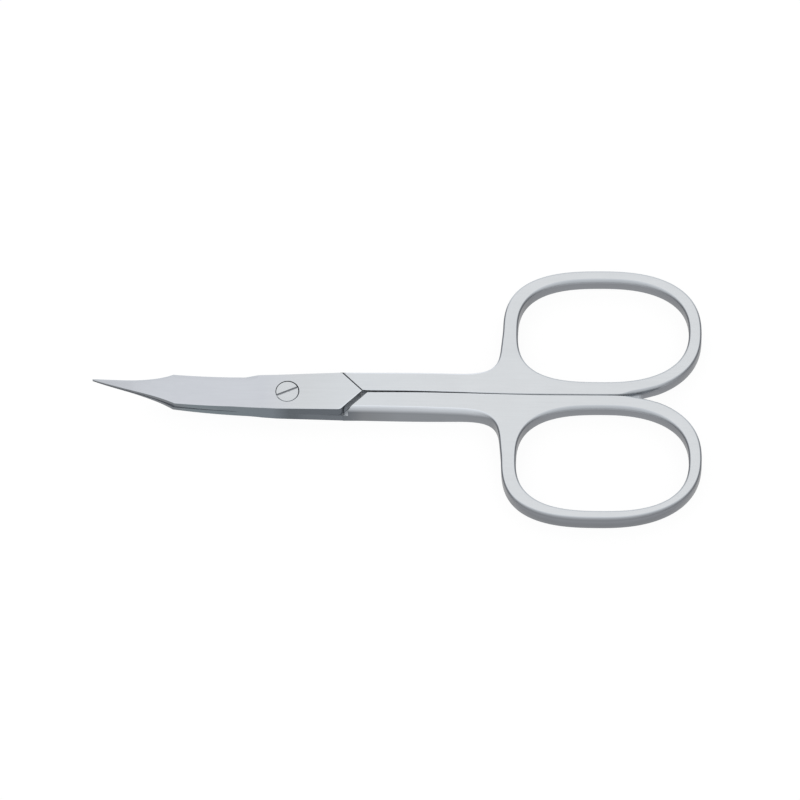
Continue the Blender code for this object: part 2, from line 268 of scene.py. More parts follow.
def evaluated_mesh(item: bpy.types.Object) -> bpy.types.Mesh:
    """Mesh of an object with its modifiers applied."""
    graph = bpy.context.evaluated_depsgraph_get()
    return bpy.data.meshes.new_from_object(item.evaluated_get(graph))


def combined(base: bpy.types.Mesh, steps: Iterable[tuple[str, bpy.types.Mesh]]) -> bpy.types.Mesh:
    """Join shapes to a mesh and cut shapes from it.

    Args:
        base: The mesh to start from.
        steps: (operation, shape) in order, with the operation UNION or DIFFERENCE.

    Returns:
        The resulting mesh.
    """
    target = add_object(base, "boolean_target")
    cutters = []
    for operation, shape in steps:
        cutter = add_object(shape, "boolean_cutter")
        step = target.modifiers.new("step", "BOOLEAN")
        step.object = cutter
        step.operation = operation
        step.solver = "EXACT"
        cutters.append(cutter)
    result = evaluated_mesh(target)
    for item in cutters + [target]:
        bpy.data.objects.remove(item)
    edited = bmesh.new()
    edited.from_mesh(result)
    bmesh.ops.remove_doubles(edited, verts=edited.verts, dist=WELD)
    bmesh.ops.dissolve_degenerate(edited, edges=edited.edges, dist=WELD)
    edited.to_mesh(result)
    edited.free()
    return result


def with_weighted_normals(mesh: bpy.types.Mesh, sharp_angle: float) -> bpy.types.Mesh:
    """Smooth shading in which broad faces stay flat and their rounded rims turn away from them.

    Args:
        mesh: The mesh to shade.
        sharp_angle: Edges that turn more than this stay sharp.

    Returns:
        A new mesh with its normals stored.
    """
    mesh.shade_smooth()
    mesh.set_sharp_from_angle(angle=sharp_angle)
    item = add_object(mesh, "shading")
    step = item.modifiers.new("weighted", "WEIGHTED_NORMAL")
    step.keep_sharp = True
    step.mode = "FACE_AREA"
    result = evaluated_mesh(item)
    bpy.data.objects.remove(item)
    return result


@dataclass(frozen=True)
class JointForm:
    """Sizes of the lap joint, which the handle and the blade share."""

    thickness: float = 3.94 * MM
    face_gap: float = 0.05 * MM
    plate_step: float = 0.04 * MM
    plate_width: float = 6.16 * MM
    upper_swell: float = 0.17 * MM
    pivot_flat: float = 4.6 * MM
    chevron_reach: float = 11.12 * MM
    shank_gap: float = 0.28 * MM
    shoulder_gap: float = 0.8 * MM
    groove_width: float = 0.19 * MM
    groove_depth: float = 0.16 * MM

    @property
    def apex(self) -> Vector:
        """Point of the chevron, at the corner of the gap between the shanks."""
        return Vector((self.chevron_reach, self.shank_gap / 2))

    @property
    def step_reach(self) -> float:
        """Where the line of the step on the outer face meets the centre line."""
        return self.apex.x + self.apex.y

    @property
    def shoulder_reach(self) -> float:
        """Where the line of the shoulder below the lap meets the centre line."""
        return self.apex.x - self.apex.y + self.shoulder_gap * math.sqrt(2)


@dataclass(frozen=True)
class RingShape:
    """Bends of one finger ring, where an exponent of 2 is an ellipse and more is squarer.

    Far is the side away from the other ring, front the end towards the shank. far_loss is how much
    lower the far side lies than the frame's box.
    """

    far_loss: float
    far_front: float
    far_back: float
    near_back: float
    hole_far_back: float
    hole_near_front: float


RING_SHAPES = {
    Half.UPPER: RingShape(far_loss=0.0, far_front=2.75, far_back=2.45, near_back=2.29,
                          hole_far_back=2.4, hole_near_front=2.97),
    Half.LOWER: RingShape(far_loss=0.1 * MM, far_front=2.8, far_back=2.32, near_back=2.36,
                          hole_far_back=2.57, hole_near_front=2.74),
}


@dataclass
class HandleForm:
    """Shank and finger ring, cut from one flat blank with rounded rims.

    Walls are the widths of the ring round its hole, by side. Roundings are how far the rims reach in
    from the outline, gains make them wider in places, and stretches make them deeper than wide. A
    growth of 3 lets a rim widen by a third of its distance from the root.
    """

    joint: JointForm
    reach: float
    ring_top: float
    shank_reach: float = 3.29 * MM
    shank_end: float = 24.9 * MM
    taper_start: float = 16.5 * MM
    taper_into_ring: float = 7.4 * MM
    ring_gap: float = 0.05 * MM
    ring_height: float = 21.53 * MM
    ring_length: float = 29.54 * MM
    ring_thickness: float = 2.49 * MM
    wall_inner: float = 2.43 * MM
    wall_outer: float = 1.94 * MM
    wall_front: float = 2.2 * MM
    wall_back: float = 1.89 * MM
    hole_far_front: float = 2.74
    hole_near_back: float = 2.4
    wall_pull: tuple[float, float] = (0.1, 0.7)
    shank_pull: float = 1.08
    soft_rounding: float = 0.6 * MM
    back_rounding: float = 0.3 * MM
    crisp_rounding: float = 0.28 * MM
    under_rounding: float = 0.5 * MM
    gap_rounding: float = 0.14 * MM
    gap_margin: float = 1.01
    front_growth: float = 3.0
    back_growth: float = 10.0
    blend_points: int = 6
    front_stretch: float = 1.9
    shank_stretch: float = 0.2
    shank_gain: float = 0.15
    ring_front_gain: float = 1.25
    rounding_bias: float = 3.0
    spacing: float = 0.28 * MM
    rim_steps: int = 7
    taper_cuts: int = 40
    curve_points: int = 180
    fairing_rounds: int = 8
    parting_rounds: int = 60
    parting_reach: Vector = field(default_factory=lambda: Vector((4.5, 2.0)) * MM)

    @property
    def root_x(self) -> float:
        """Where the handle begins, buried in the lap plate."""
        return self.joint.chevron_reach / 2

    @property
    def taper_end(self) -> float:
        """Where the handle has thinned to the ring's thickness."""
        return self.ring_front + self.taper_into_ring

    @property
    def ring_front(self) -> float:
        """Where the ring's front wall begins."""
        return self.reach - self.ring_length

    @property
    def ring_centre(self) -> Vector:
        """Middle of the ring's outline."""
        return Vector((self.reach - self.ring_length / 2, self.ring_top - self.ring_height / 2))

    @property
    def root_corner(self) -> Vector:
        """Lower corner of the boxes in which a loop's kinks are eased, past the joint."""
        return Vector((self.taper_start, -self.reach))

    def on_shank(self, x: float) -> float:
        """Share, from 0 on the ring to 1 on the shank."""
        return smooth_step((self.ring_front - x) / self.joint.thickness)

    def ring_outline(self, half: Half) -> list[Vector]:
        """Outside of the ring, from its flat side round the back to its front wall.

        Args:
            half: Half that the blank is for.

        Returns:
            Points of the outline.
        """
        shape, quarter = RING_SHAPES[half], math.pi / 2
        size = Vector((self.ring_length, self.ring_height))
        far_size = size - Vector((0, 2 * shape.far_loss))
        near = superellipse(size, shape.near_back, -quarter, 0, self.curve_points)
        far = superellipse(far_size, shape.far_back, 0, quarter, self.curve_points)
        front = superellipse(far_size, shape.far_front, quarter, 2 * quarter, self.curve_points)
        points = [self.ring_centre + point for point in near + far[1:] + front[1:]]
        first = next(i for i, point in enumerate(points) if point.y > self.ring_gap / 2)
        low, high = points[first - 1], points[first]
        share = (self.ring_gap / 2 - low.y) / (high.y - low.y)
        return [low.lerp(high, share)] + points[first:]

    def fillet(self, wall: Vector, start: Vector) -> list[Vector]:
        """Sweep from the ring's front wall into the shank's outer side.

        Args:
            wall: End of the ring's front wall.
            start: Corner of the shank's outer side.

        Returns:
            Points of the sweep, both ends included.
        """
        size = wall - start
        wall_handle = wall - size * Vector(self.wall_pull)
        shank_handle = start + Vector((size.x * self.shank_pull, 0))
        return bezier(wall, wall_handle, shank_handle, start, self.curve_points)

    def outer_loop(self, half: Half) -> list[Vector]:
        """Outside of shank and ring, counter-clockwise from the shank's inner corner.

        Args:
            half: Half that the blank is for.

        Returns:
            Points of the closed loop.
        """
        joint = self.joint
        root_reach = joint.plate_width / 2 + (joint.upper_swell if half is Half.UPPER else 0.0)
        ring = self.ring_outline(half)
        shank_corner = Vector((self.shank_end, self.shank_reach))
        ring_corner = Vector((self.ring_front, self.ring_gap / 2))
        gap_side = [Vector((self.root_x, joint.apex.y)), joint.apex, ring_corner, ring[0]]
        sweep = ring + self.fillet(ring[-1], shank_corner)[1:]
        shank_side = [shank_corner, Vector((joint.chevron_reach, root_reach)),
                      Vector((self.root_x, root_reach))]
        stretches = [resampled(stretch, self.spacing) for stretch in (gap_side, sweep, shank_side)]
        loop = [point for stretch in stretches for point in stretch[:-1]] + [stretches[-1][-1]]
        loop = self.faired(loop, self.root_corner, self.fairing_rounds)
        parting = ring[0] - self.parting_reach
        return self.faired(loop, parting, self.parting_rounds, ring[0] + self.parting_reach)

    def faired(self, loop: list[Vector], low: Vector, rounds: int,
               high: Vector | None = None) -> list[Vector]:
        """Take the kinks out of a loop between two corners of a box.

        Args:
            loop: Closed loop.
            low: Lower corner of the box.
            rounds: How often each point is drawn towards its neighbours.
            high: Upper corner of the box, or None where it has no end.

        Returns:
            The eased loop.
        """
        high = high or Vector((self.reach, self.reach))
        for _ in range(rounds):
            before, after = loop[-1:] + loop[:-1], loop[1:] + loop[:1]
            loop = [(left + point * 2 + right) / 4
                    if low.x < point.x <= high.x and low.y < point.y <= high.y else point
                    for left, point, right in zip(before, loop, after)]
        return loop

    def hole_loop(self, half: Half) -> list[Vector]:
        """Inside of the finger ring, clockwise.

        Args:
            half: Half that the blank is for.

        Returns:
            Points of the closed loop.
        """
        size = Vector((self.ring_length - self.wall_front - self.wall_back,
                       self.ring_height - self.wall_inner - self.wall_outer))
        offset = Vector((self.wall_front - self.wall_back, self.wall_inner - self.wall_outer)) / 2
        shape, quarter = RING_SHAPES[half], math.pi / 2
        bends = (self.hole_near_back, shape.hole_far_back, self.hole_far_front, shape.hole_near_front)
        points = []
        for turn, squareness in enumerate(bends, start=-1):
            bend = superellipse(size, squareness, turn * quarter, (turn + 1) * quarter, self.curve_points)
            points += [self.ring_centre + offset + point for point in bend[1:]]
        points.append(points[0])
        loop = resampled(points, self.spacing)[:-1]
        return self.faired(loop, self.root_corner, self.fairing_rounds)[::-1]

    def roundings(self, loop: Sequence[Vector], outward: Sequence[Vector], half: Half) -> list[float]:
        """Inset of the seen rim: soft where it faces the front, crisp round the bends.

        Args:
            loop: Closed loop of the flat blank.
            outward: Outward direction at each of its points.
            half: Half that the blank is for.

        Returns:
            The inset at each point.
        """
        values = []
        for point, normal in zip(loop, outward):
            share = abs(normal.y) ** self.rounding_bias
            soft = self.soft_rounding * (1 + self.shank_gain * self.on_shank(point.x))
            broad = soft if normal.y * half.side < 0 else self.back_rounding
            if half is Half.LOWER and point.y > self.ring_centre.y and normal.y > 0:
                broad = self.soft_rounding * self.ring_front_gain
            value = self.crisp_rounding + (broad - self.crisp_rounding) * share
            before_bend = point.x < self.ring_centre.x + self.ring_length / 4
            in_gap = point.y < self.joint.apex.y + WELD and before_bend
            values.append(self.gap_rounding if in_gap else value)
        beside = self.blend_points
        window = np.hanning(2 * beside + 1)
        wrapped = np.concatenate([values[-beside:], values, values[:beside]])
        smooth = np.convolve(wrapped, window / window.sum(), mode="valid")
        growth = self.front_growth if half is Half.LOWER else self.back_growth
        return [min(value, self.gap_rounding + (point.x - self.root_x) / growth)
                for value, point in zip(smooth, loop)]

    def rim_rows(self, loop: Sequence[Vector], half: Half, stretch: float) -> list[list[Vector]]:
        """Rows of points up a rim, from the lower face's edge to the upper face's edge.

        Args:
            loop: Closed loop of the flat blank.
            half: Half that the blank is for.
            stretch: How much deeper than wide the seen rim is where it faces the front.

        Returns:
            Rows of points, each as long as the loop.
        """
        ahead, behind = loop[1:] + loop[:1], loop[-1:] + loop[:-1]
        directions = [(b - a).normalized() for a, b in zip(behind, ahead)]
        outward = [Vector((direction.y, -direction.x)) for direction in directions]
        insets = self.roundings(loop, outward, half)
        under, drops = [], []
        for point, normal, inset in zip(loop, outward, insets):
            rising = self.gap_rounding + (point.x - self.root_x) / self.front_growth
            in_gap = inset <= self.gap_rounding * self.gap_margin
            under.append(inset if in_gap else min(self.under_rounding, rising))
            facing = max(0.0, -normal.y * half.side) ** self.rounding_bias
            deeper = self.shank_stretch * self.on_shank(point.x)
            drops.append(inset * (1 + (stretch - 1 + deeper) * facing))
        seen = self.quarter(loop, outward, insets, drops)
        hidden = self.quarter(loop, outward, under, under)
        top, bottom = (seen, hidden) if half is Half.UPPER else (hidden, seen)
        return [[Vector((p.x, p.y, -p.z)) for p in row] for row in reversed(bottom)] + top

    def quarter(self, loop: Sequence[Vector], outward: Sequence[Vector], insets: Sequence[float],
                drops: Sequence[float]) -> list[list[Vector]]:
        """Rows of points over one elliptic rim of the face at +Z.

        Args:
            loop: Closed loop of the flat blank.
            outward: Outward direction at each point.
            insets: Width of the rim at each point.
            drops: Depth of the rim at each point.

        Returns:
            Rows of points, from the rim's foot to the face.
        """
        rows = []
        for i in range(self.rim_steps + 1):
            angle = math.pi / 2 * i / self.rim_steps
            row = []
            for point, normal, inset, drop in zip(loop, outward, insets, drops):
                place = point - normal * inset * (1 - math.cos(angle))
                height = self.joint.thickness / 2 - drop * (1 - math.sin(angle))
                row.append(Vector((place.x, place.y, height)))
            rows.append(row)
        return rows

    def mesh(self, half: Half) -> bpy.types.Mesh:
        """The whole handle, thinned from the joint's thickness to the ring's.

        Args:
            half: Half that the blank is for.

        Returns:
            The closed mesh of shank and ring.
        """
        edited = bmesh.new()
        lowest, highest = [], []
        for loop, stretch in ((self.outer_loop(half), self.front_stretch), (self.hole_loop(half), 1.0)):
            rows = [[edited.verts.new(point) for point in row]
                    for row in self.rim_rows(loop, half, stretch)]
            joined_rows(edited, rows)
            lowest.append(rows[0])
            highest.append(rows[-1])
        self.cut_caps(edited, self.cap(edited, lowest) + self.cap(edited, highest))
        for vertex in edited.verts:
            share = smooth_step((vertex.co.x - self.taper_start) / (self.taper_end - self.taper_start))
            thinning = share * (self.joint.thickness - self.ring_thickness) / 2
            vertex.co.z -= math.copysign(thinning, vertex.co.z)
        return mesh_from(edited, "handle")

    def cap(self, edited: bmesh.types.BMesh,
            loops: list[list[bmesh.types.BMVert]]) -> list[bmesh.types.BMFace]:
        """Close one flat side between its outer loop and its hole, which is convex.

        Args:
            edited: Mesh that gets the faces.
            loops: Outer loop and hole, as vertices in order.

        Returns:
            The new faces.
        """
        corners = [corner for loop in loops for corner in loop]
        edges, first = [], 0
        for loop in loops:
            edges += [(first + i, first + (i + 1) % len(loop)) for i in range(len(loop))]
            first += len(loop)
        flat = [corner.co.to_2d() for corner in corners]
        _, _, triangles, sources, _, _ = delaunay_2d_cdt(flat, edges, [], TRIANGLES_WITHIN, FINE_WELD)
        faces = []
        for triangle in triangles:
            places = [sources[i][0] for i in triangle]
            if min(places) < len(loops[0]):
                faces.append(edited.faces.new([corners[place] for place in places]))
        return faces

    def cut_caps(self, edited: bmesh.types.BMesh, caps: list[bmesh.types.BMFace]) -> None:
        """Cut the flat faces across the taper, so that they can follow its curve.

        Args:
            edited: Mesh of the handle.
            caps: Its flat faces.
        """
        reach = self.taper_end - self.taper_start
        for i in range(self.taper_cuts + 1):
            plane = Vector((self.taper_start + reach * i / self.taper_cuts, 0, 0))
            edges = {edge for face in caps for edge in face.edges}
            corners = {corner for face in caps for corner in face.verts}
            cut = bmesh.ops.bisect_plane(edited, geom=caps + list(edges) + list(corners), dist=WELD,
                                         plane_co=plane, plane_no=(1, 0, 0))
            caps = [item for item in cut["geom"] if isinstance(item, bmesh.types.BMFace)]


@dataclass
class BladeForm:
    """Lap plate and blade, lofted from the tip to the chevron.

    The spire is the tower point, the heel is where the blade meets the plate, and the spine is the
    blade's back. A waist gives what the half width loses where the narrow stretch between heel and
    pivot begins and where it ends. A pull is how far a curve's handle lies from its end, as shares of
    the curve's size.
    """

    joint: JointForm
    reach: float
    heel_start: float = 3.8 * MM
    heel_end: float = 6.3 * MM
    heel_step: float = 0.6 * MM
    heel_thickness: float = 1.72 * MM
    upper_edge_half_width: float = 2.43 * MM
    lower_edge_half_width: float = 2.57 * MM
    spine_half_width: float = 2.48 * MM
    spine_swell: float = 0.08 * MM
    upper_waist: tuple[float, float] = (0.29 * MM, 0.22 * MM)
    lower_waist: tuple[float, float] = (0.54 * MM, 0.32 * MM)
    spine_waist: tuple[float, float] = (0.29 * MM, 0.14 * MM)
    shoulder_thickness: float = 1.01 * MM
    spire_length: float = 11.7 * MM
    spine_root_step: float = 0.37 * MM
    spire_thickness: float = 0.54 * MM
    tip_thickness: float = 0.29 * MM
    tip_half_width: float = 0.08 * MM
    tip_face_gap: float = 0.04 * MM
    bevel_width: float = 0.3 * MM
    upper_bevel_drop: float = 0.1 * MM
    lower_bevel_drop: float = 0.3 * MM
    edge_break: float = 0.06 * MM
    upper_corner_break: float = 0.06 * MM
    lower_corner_break: float = 0.32 * MM
    hollow_grind: float = 0.05 * MM
    crown: float = 0.03 * MM
    corner_radius: float = 0.05 * MM
    corners_in_thickness: float = 4.0
    corners_in_width: float = 6.0
    corner_pull: float = 0.55
    most_drop: float = 0.6
    most_bevel: float = 0.4
    buried: float = 0.45 * MM
    tuck: float = 0.01 * MM
    tip_pull: tuple[float, float] = (0.33, 0.27)
    edge_root_pull: tuple[float, float] = (0.26, 0.62)
    spine_root_pull: tuple[float, float] = (0.33, 0.65)
    bow_start: float = 4.0 * MM
    tip_rise: float = 4.72 * MM
    spacing: float = 0.4 * MM
    across: int = 8
    corner_steps: int = 3
    spire_points: int = 40

    @property
    def spire_root(self) -> float:
        """Distance of the tower shoulder from the pivot axis."""
        return self.reach - self.spire_length

    @property
    def waist_places(self) -> tuple[float, float]:
        """Where the narrow waist between blade and plate begins and ends."""
        return -self.heel_start - self.heel_step, -self.joint.pivot_flat / 3

    def outer_face(self, x: float) -> float:
        """Height of the outer face above the parting plane.

        Args:
            x: Place along the scissors.

        Returns:
            The height there.
        """
        return along(x, [
            (-self.reach, self.tip_thickness),
            (-(self.spire_root + self.reach) / 2, self.spire_thickness),
            (-self.spire_root, self.shoulder_thickness),
            (-self.heel_start, self.heel_thickness),
            (self.joint.chevron_reach, self.joint.thickness / 2 - self.joint.plate_step),
        ])

    def inner_face(self, x: float) -> float:
        """Height of the inner face above the parting plane."""
        return along(x, [(-self.reach, self.tip_face_gap / 2),
                         (-self.spire_root, self.joint.face_gap / 2)])

    def plate_stations(self, half: Half) -> list[tuple[float, float]]:
        """Half widths on the cutting side, from the blade's heel past the pivot to the chevron.

        Args:
            half: Half that the blade is for.

        Returns:
            Stations (x, half width) in rising x.
        """
        full = self.joint.plate_width / 2 - self.tuck
        if half is Half.UPPER:
            heel, waist, end = self.upper_edge_half_width, self.upper_waist, full + self.joint.upper_swell
        else:
            heel, waist, end = self.lower_edge_half_width, self.lower_waist, full
        places = (-self.heel_end, *self.waist_places, self.joint.chevron_reach - full)
        return list(zip(places, (heel, full - waist[0], full - waist[1], end)))

    def back_stations(self) -> list[tuple[float, float]]:
        """Half widths along the back, which swells gently from the blade into the plate.

        Returns:
            Stations (x, half width) in rising x.
        """
        full, waist = self.joint.plate_width / 2, self.spine_waist
        places = (-self.heel_end - self.heel_start / 2, *self.waist_places, self.joint.chevron_reach)
        widths = (self.spine_half_width + self.spine_swell, full - waist[0], full - waist[1], full)
        return list(zip(places, widths))

    def spire_side(self, length: float, root_half_width: float,
                   root_pull: tuple[float, float]) -> list[tuple[float, float]]:
        """Stations of one concave side of the spire, from the tip to its root.

        Args:
            length: Length of that side.
            root_half_width: Half width at its root.
            root_pull: How far the curve keeps the root's direction, as shares of the size.

        Returns:
            Stations (x, half width) in rising x.
        """
        size = Vector((length, root_half_width))
        tip = Vector((-self.reach, self.tip_half_width))
        root = Vector((length - self.reach, root_half_width))
        tip_handle, root_handle = tip + size * Vector(self.tip_pull), root - size * Vector(root_pull)
        side = bezier(tip, tip_handle, root_handle, root, self.spire_points)
        return [(point.x, point.y) for point in side]

    def spine(self, x: float) -> float:
        """Distance of the blade's back from the centre line.

        Args:
            x: Place along the scissors.

        Returns:
            The distance there.
        """
        length = self.spire_length + self.spine_root_step
        spire = self.spire_side(length, self.spine_half_width, self.spine_root_pull)
        return along(x, spire + self.back_stations())

    def cutting_spire(self, half: Half) -> list[tuple[float, float]]:
        """Stations of the spire's cutting side."""
        half_width = self.upper_edge_half_width if half is Half.UPPER else self.lower_edge_half_width
        return self.spire_side(self.spire_length, half_width, self.edge_root_pull)

    def cutting_edge(self, half: Half, x: float) -> float:
        """Distance of the cutting side from the centre line."""
        return along(x, self.cutting_spire(half) + self.plate_stations(half))

    def rounded(self, corner: Vector, before: Vector, after: Vector, radius: float) -> list[Vector]:
        """Short arc that takes the sharpness off one corner of a section.

        Args:
            corner: The sharp corner.
            before: Corner before it.
            after: Corner after it.
            radius: Distance from the corner at which the arc begins and ends.

        Returns:
            Points of the arc.
        """
        start = corner + (before - corner).normalized() * radius
        stop = corner + (after - corner).normalized() * radius
        handles = [end.lerp(corner, self.corner_pull) for end in (start, stop)]
        return bezier(start, *handles, stop, self.corner_steps + 1)

    def section(self, half: Half, x: float, edge: float, back: float) -> list[Vector]:
        """Closed section at x, from the cutting edge along the inner face and back over the outer one.

        Args:
            half: Half that the blade is for.
            x: Place of the section.
            edge: Distance of the cutting side from the centre line.
            back: Distance of the back from the centre line, negative beyond it.

        Returns:
            Corners in space.
        """
        low, high = self.inner_face(x), self.outer_face(x)
        ground = smooth_step((-x - self.heel_start) / (self.heel_end - self.heel_start))
        thickness, width = high - low, edge + back
        upper = half is Half.UPPER
        corner_break = self.upper_corner_break if upper else self.lower_corner_break
        bevel_drop = self.upper_bevel_drop if upper else self.lower_bevel_drop
        past_heel = (x + self.heel_end) / (self.joint.chevron_reach + self.heel_end)
        eased = corner_break * smooth_step(past_heel)
        drop = self.edge_break + (bevel_drop - self.edge_break) * ground + eased
        drop = min(drop, thickness * self.most_drop)
        bevel = self.edge_break + (self.bevel_width - self.edge_break) * ground + eased
        bevel = min(bevel, width * self.most_bevel)
        radius = min(self.corner_radius, thickness / self.corners_in_thickness,
                     width / self.corners_in_width)
        corners = [Vector((edge, low)), Vector((-back, low)), Vector((-back, high)),
                   Vector((edge - bevel, high)), Vector((edge, high - drop))]
        inner_arc = self.rounded(corners[1], corners[0], corners[2], radius)
        outer_arc = self.rounded(corners[2], corners[1], corners[3], radius)
        shares = [i / self.across for i in range(1, self.across)]
        fullness = ground * min(1.0, width / self.spine_half_width) ** 2
        swell = [4 * share * (1 - share) * fullness for share in shares]
        inner = [corners[0].lerp(inner_arc[0], share) + Vector((0, self.hollow_grind * rise))
                 for share, rise in zip(shares, swell)]
        outer = [outer_arc[-1].lerp(corners[3], share) + Vector((0, self.crown * rise))
                 for share, rise in zip(shares, swell)]
        outline = [corners[0]] + inner + inner_arc + outer_arc + outer + corners[3:]
        return [Vector((x, point.x, point.y)) for point in outline]

    def shares(self, start: float, stop: float) -> list[float]:
        """Shares of the way from start to stop at the loft's spacing, without the start."""
        count = max(1, round((stop - start) / self.spacing))
        return [i / count for i in range(1, count + 1)]

    def mesh(self, half: Half) -> bpy.types.Mesh:
        """The loft from the tip to an end that is buried in the handle.

        Args:
            half: Half that the blade is for.

        Returns:
            The closed mesh of blade and plate.
        """
        joint = self.joint
        sections = [self.section(half, x, edge, self.spine(x)) for x, edge in self.cutting_spire(half)]
        half_width = self.cutting_edge(half, joint.apex.x)
        end_line = joint.apex.x - joint.apex.y - self.tuck
        free_corner = end_line - half_width
        step_corner = joint.step_reach - half_width + 2 * self.tuck
        spine_root = self.spine_root_step - self.spire_root
        stops = [-self.spire_root, spine_root, -self.heel_end, -self.heel_start, -joint.pivot_flat / 2,
                 joint.pivot_flat / 2, free_corner]
        for start, stop in zip(stops, stops[1:]):
            for share in self.shares(start, stop):
                x = start + (stop - start) * share
                sections.append(self.section(half, x, self.cutting_edge(half, x), self.spine(x)))
        inner_edge = half_width - self.buried
        diagonal = [(free_corner, half_width), (step_corner, half_width),
                    (step_corner + self.buried, inner_edge), (joint.apex.x, inner_edge)]
        for (start, start_edge), (stop, stop_edge) in zip(diagonal, diagonal[1:]):
            for share in self.shares(start, stop):
                x = start + (stop - start) * share
                edge = start_edge + (stop_edge - start_edge) * share
                sections.append(self.section(half, x, edge, end_line - x))
        end = joint.shoulder_reach + self.buried
        sections.append(self.section(half, end, inner_edge, -joint.apex.y - self.buried))
        return lofted(sections, "blade")

    def bow(self, mesh: bpy.types.Mesh) -> None:
        """Bend the blade upwards along an arc that starts at bow_start from the pivot axis.

        Args:
            mesh: Flat half about the pivot axis.
        """
        arc_radius = (self.reach - self.bow_start) ** 2 / (2 * self.tip_rise)
        for vertex in mesh.vertices:
            distance = math.hypot(vertex.co.x, vertex.co.y)
            if vertex.co.x < 0 and distance > self.bow_start:
                vertex.co.z += (distance - self.bow_start) ** 2 / (2 * arc_radius)


@dataclass
class PivotScrew:
    """Slotted screw, with the seat and the hole that it needs in the two halves."""

    blade: BladeForm
    head_radius: float = 1.7 * MM
    head_height: float = 0.75 * MM
    head_recess: float = 0.03 * MM
    head_break: float = 0.07 * MM
    slot_width: float = 0.42 * MM
    slot_depth: float = 0.28 * MM
    slot_angle: float = math.radians(24)
    barrel_radius: float = 1.3 * MM
    thread_radius: float = 1.15 * MM
    thread_depth: float = 0.22 * MM
    thread_pitch: float = 0.4 * MM
    thread_lead: float = 0.75
    end_recess: float = 0.06 * MM
    running_clearance: float = 0.045 * MM
    seat_clearance: float = 0.06 * MM
    seat_chamfer: float = 0.03 * MM
    facets: int = 128
    overshoot: float = 3 * MM

    @property
    def head_top(self) -> float:
        """Height of the head's face above the parting plane."""
        return self.blade.outer_face(0) - self.head_recess

    @property
    def barrel_end(self) -> float:
        """Height at which the thread takes over from the barrel."""
        return self.seat_clearance - self.blade.joint.face_gap / 2

    @property
    def tip(self) -> float:
        """Height of the screw's threaded end."""
        return self.end_recess - self.blade.outer_face(0)

    def seat(self) -> bpy.types.Mesh:
        """Cutter for the head's counterbore and the barrel's running hole.

        Returns:
            The cutter about the pivot axis.
        """
        face = self.blade.outer_face(0)
        above = face + self.overshoot
        floor = self.head_top - self.head_height - self.seat_clearance
        wide = self.head_radius + self.running_clearance
        narrow = self.barrel_radius + self.running_clearance
        mouth = wide + self.seat_chamfer
        corners = [(0, above), (mouth + self.overshoot, above), (mouth, face),
                   (wide, face - self.seat_chamfer), (wide, floor), (narrow, floor), (narrow, 0), (0, 0)]
        return turned(corners, self.facets, "seat")

    def tapped_hole(self) -> bpy.types.Mesh:
        """Cutter for the hole in the lower plate.

        Returns:
            The cutter about the pivot axis.
        """
        face = self.blade.outer_face(0)
        below = -face - self.overshoot
        radius = self.thread_radius + self.running_clearance / 2
        mouth = radius + self.seat_chamfer
        corners = [(0, self.barrel_end), (radius, self.barrel_end), (radius, self.seat_chamfer - face),
                   (mouth, -face), (mouth + self.overshoot, below), (0, below)]
        return turned(corners, self.facets, "tapped_hole")

    def profile(self) -> bpy.types.Mesh:
        """Open half profile of head, barrel and core, which the node tree turns about Z.

        Returns:
            The profile as a mesh of edges alone.
        """
        bottom = self.head_top - self.head_height
        core = self.thread_radius - self.thread_depth
        corners = [(0, self.head_top), (self.head_radius - self.head_break, self.head_top),
                   (self.head_radius, self.head_top - self.head_break), (self.head_radius, bottom),
                   (self.barrel_radius, bottom), (self.barrel_radius, self.barrel_end),
                   (core, self.barrel_end), (core, self.tip + self.head_break),
                   (core - self.head_break, self.tip), (0, self.tip)]
        mesh = bpy.data.meshes.new("screw_profile")
        edges = [(i, i + 1) for i in range(len(corners) - 1)]
        mesh.from_pydata([(radius, -z, 0) for radius, z in corners], edges, [])
        return mesh

    def mesh(self, material: bpy.types.Material) -> bpy.types.Mesh:
        """Turn, slot and thread the screw with its node tree.

        Args:
            material: Finish of the screw.

        Returns:
            The screw about the pivot axis, with z from the parting plane.
        """
        item = add_object(self.profile(), "screw_blank")
        step = item.modifiers.new("turning", "NODES")
        step.node_group = ScrewTree().group()
        thread_length = self.barrel_end - self.tip
        lead = self.thread_lead * self.thread_pitch
        values = {
            "Facets": self.facets,
            "Slot Length": 2 * self.head_radius + self.overshoot,
            "Slot Width": self.slot_width,
            "Slot Depth": self.slot_depth,
            "Slot Angle": self.slot_angle,
            "Head Top": self.head_top,
            "Thread Pitch Radius": self.thread_radius - self.thread_depth,
            "Thread Ridge": self.thread_depth,
            "Thread Turns": thread_length / self.thread_pitch - 2 * self.thread_lead,
            "Thread Length": thread_length - 2 * lead,
            "Thread Start": self.tip + lead,
            "Finish": material,
        }
        for socket in step.node_group.interface.items_tree:
            if socket.item_type == "SOCKET" and socket.name in values:
                step[socket.identifier] = values[socket.name]
        mesh = evaluated_mesh(item)
        bpy.data.objects.remove(item)
        return mesh


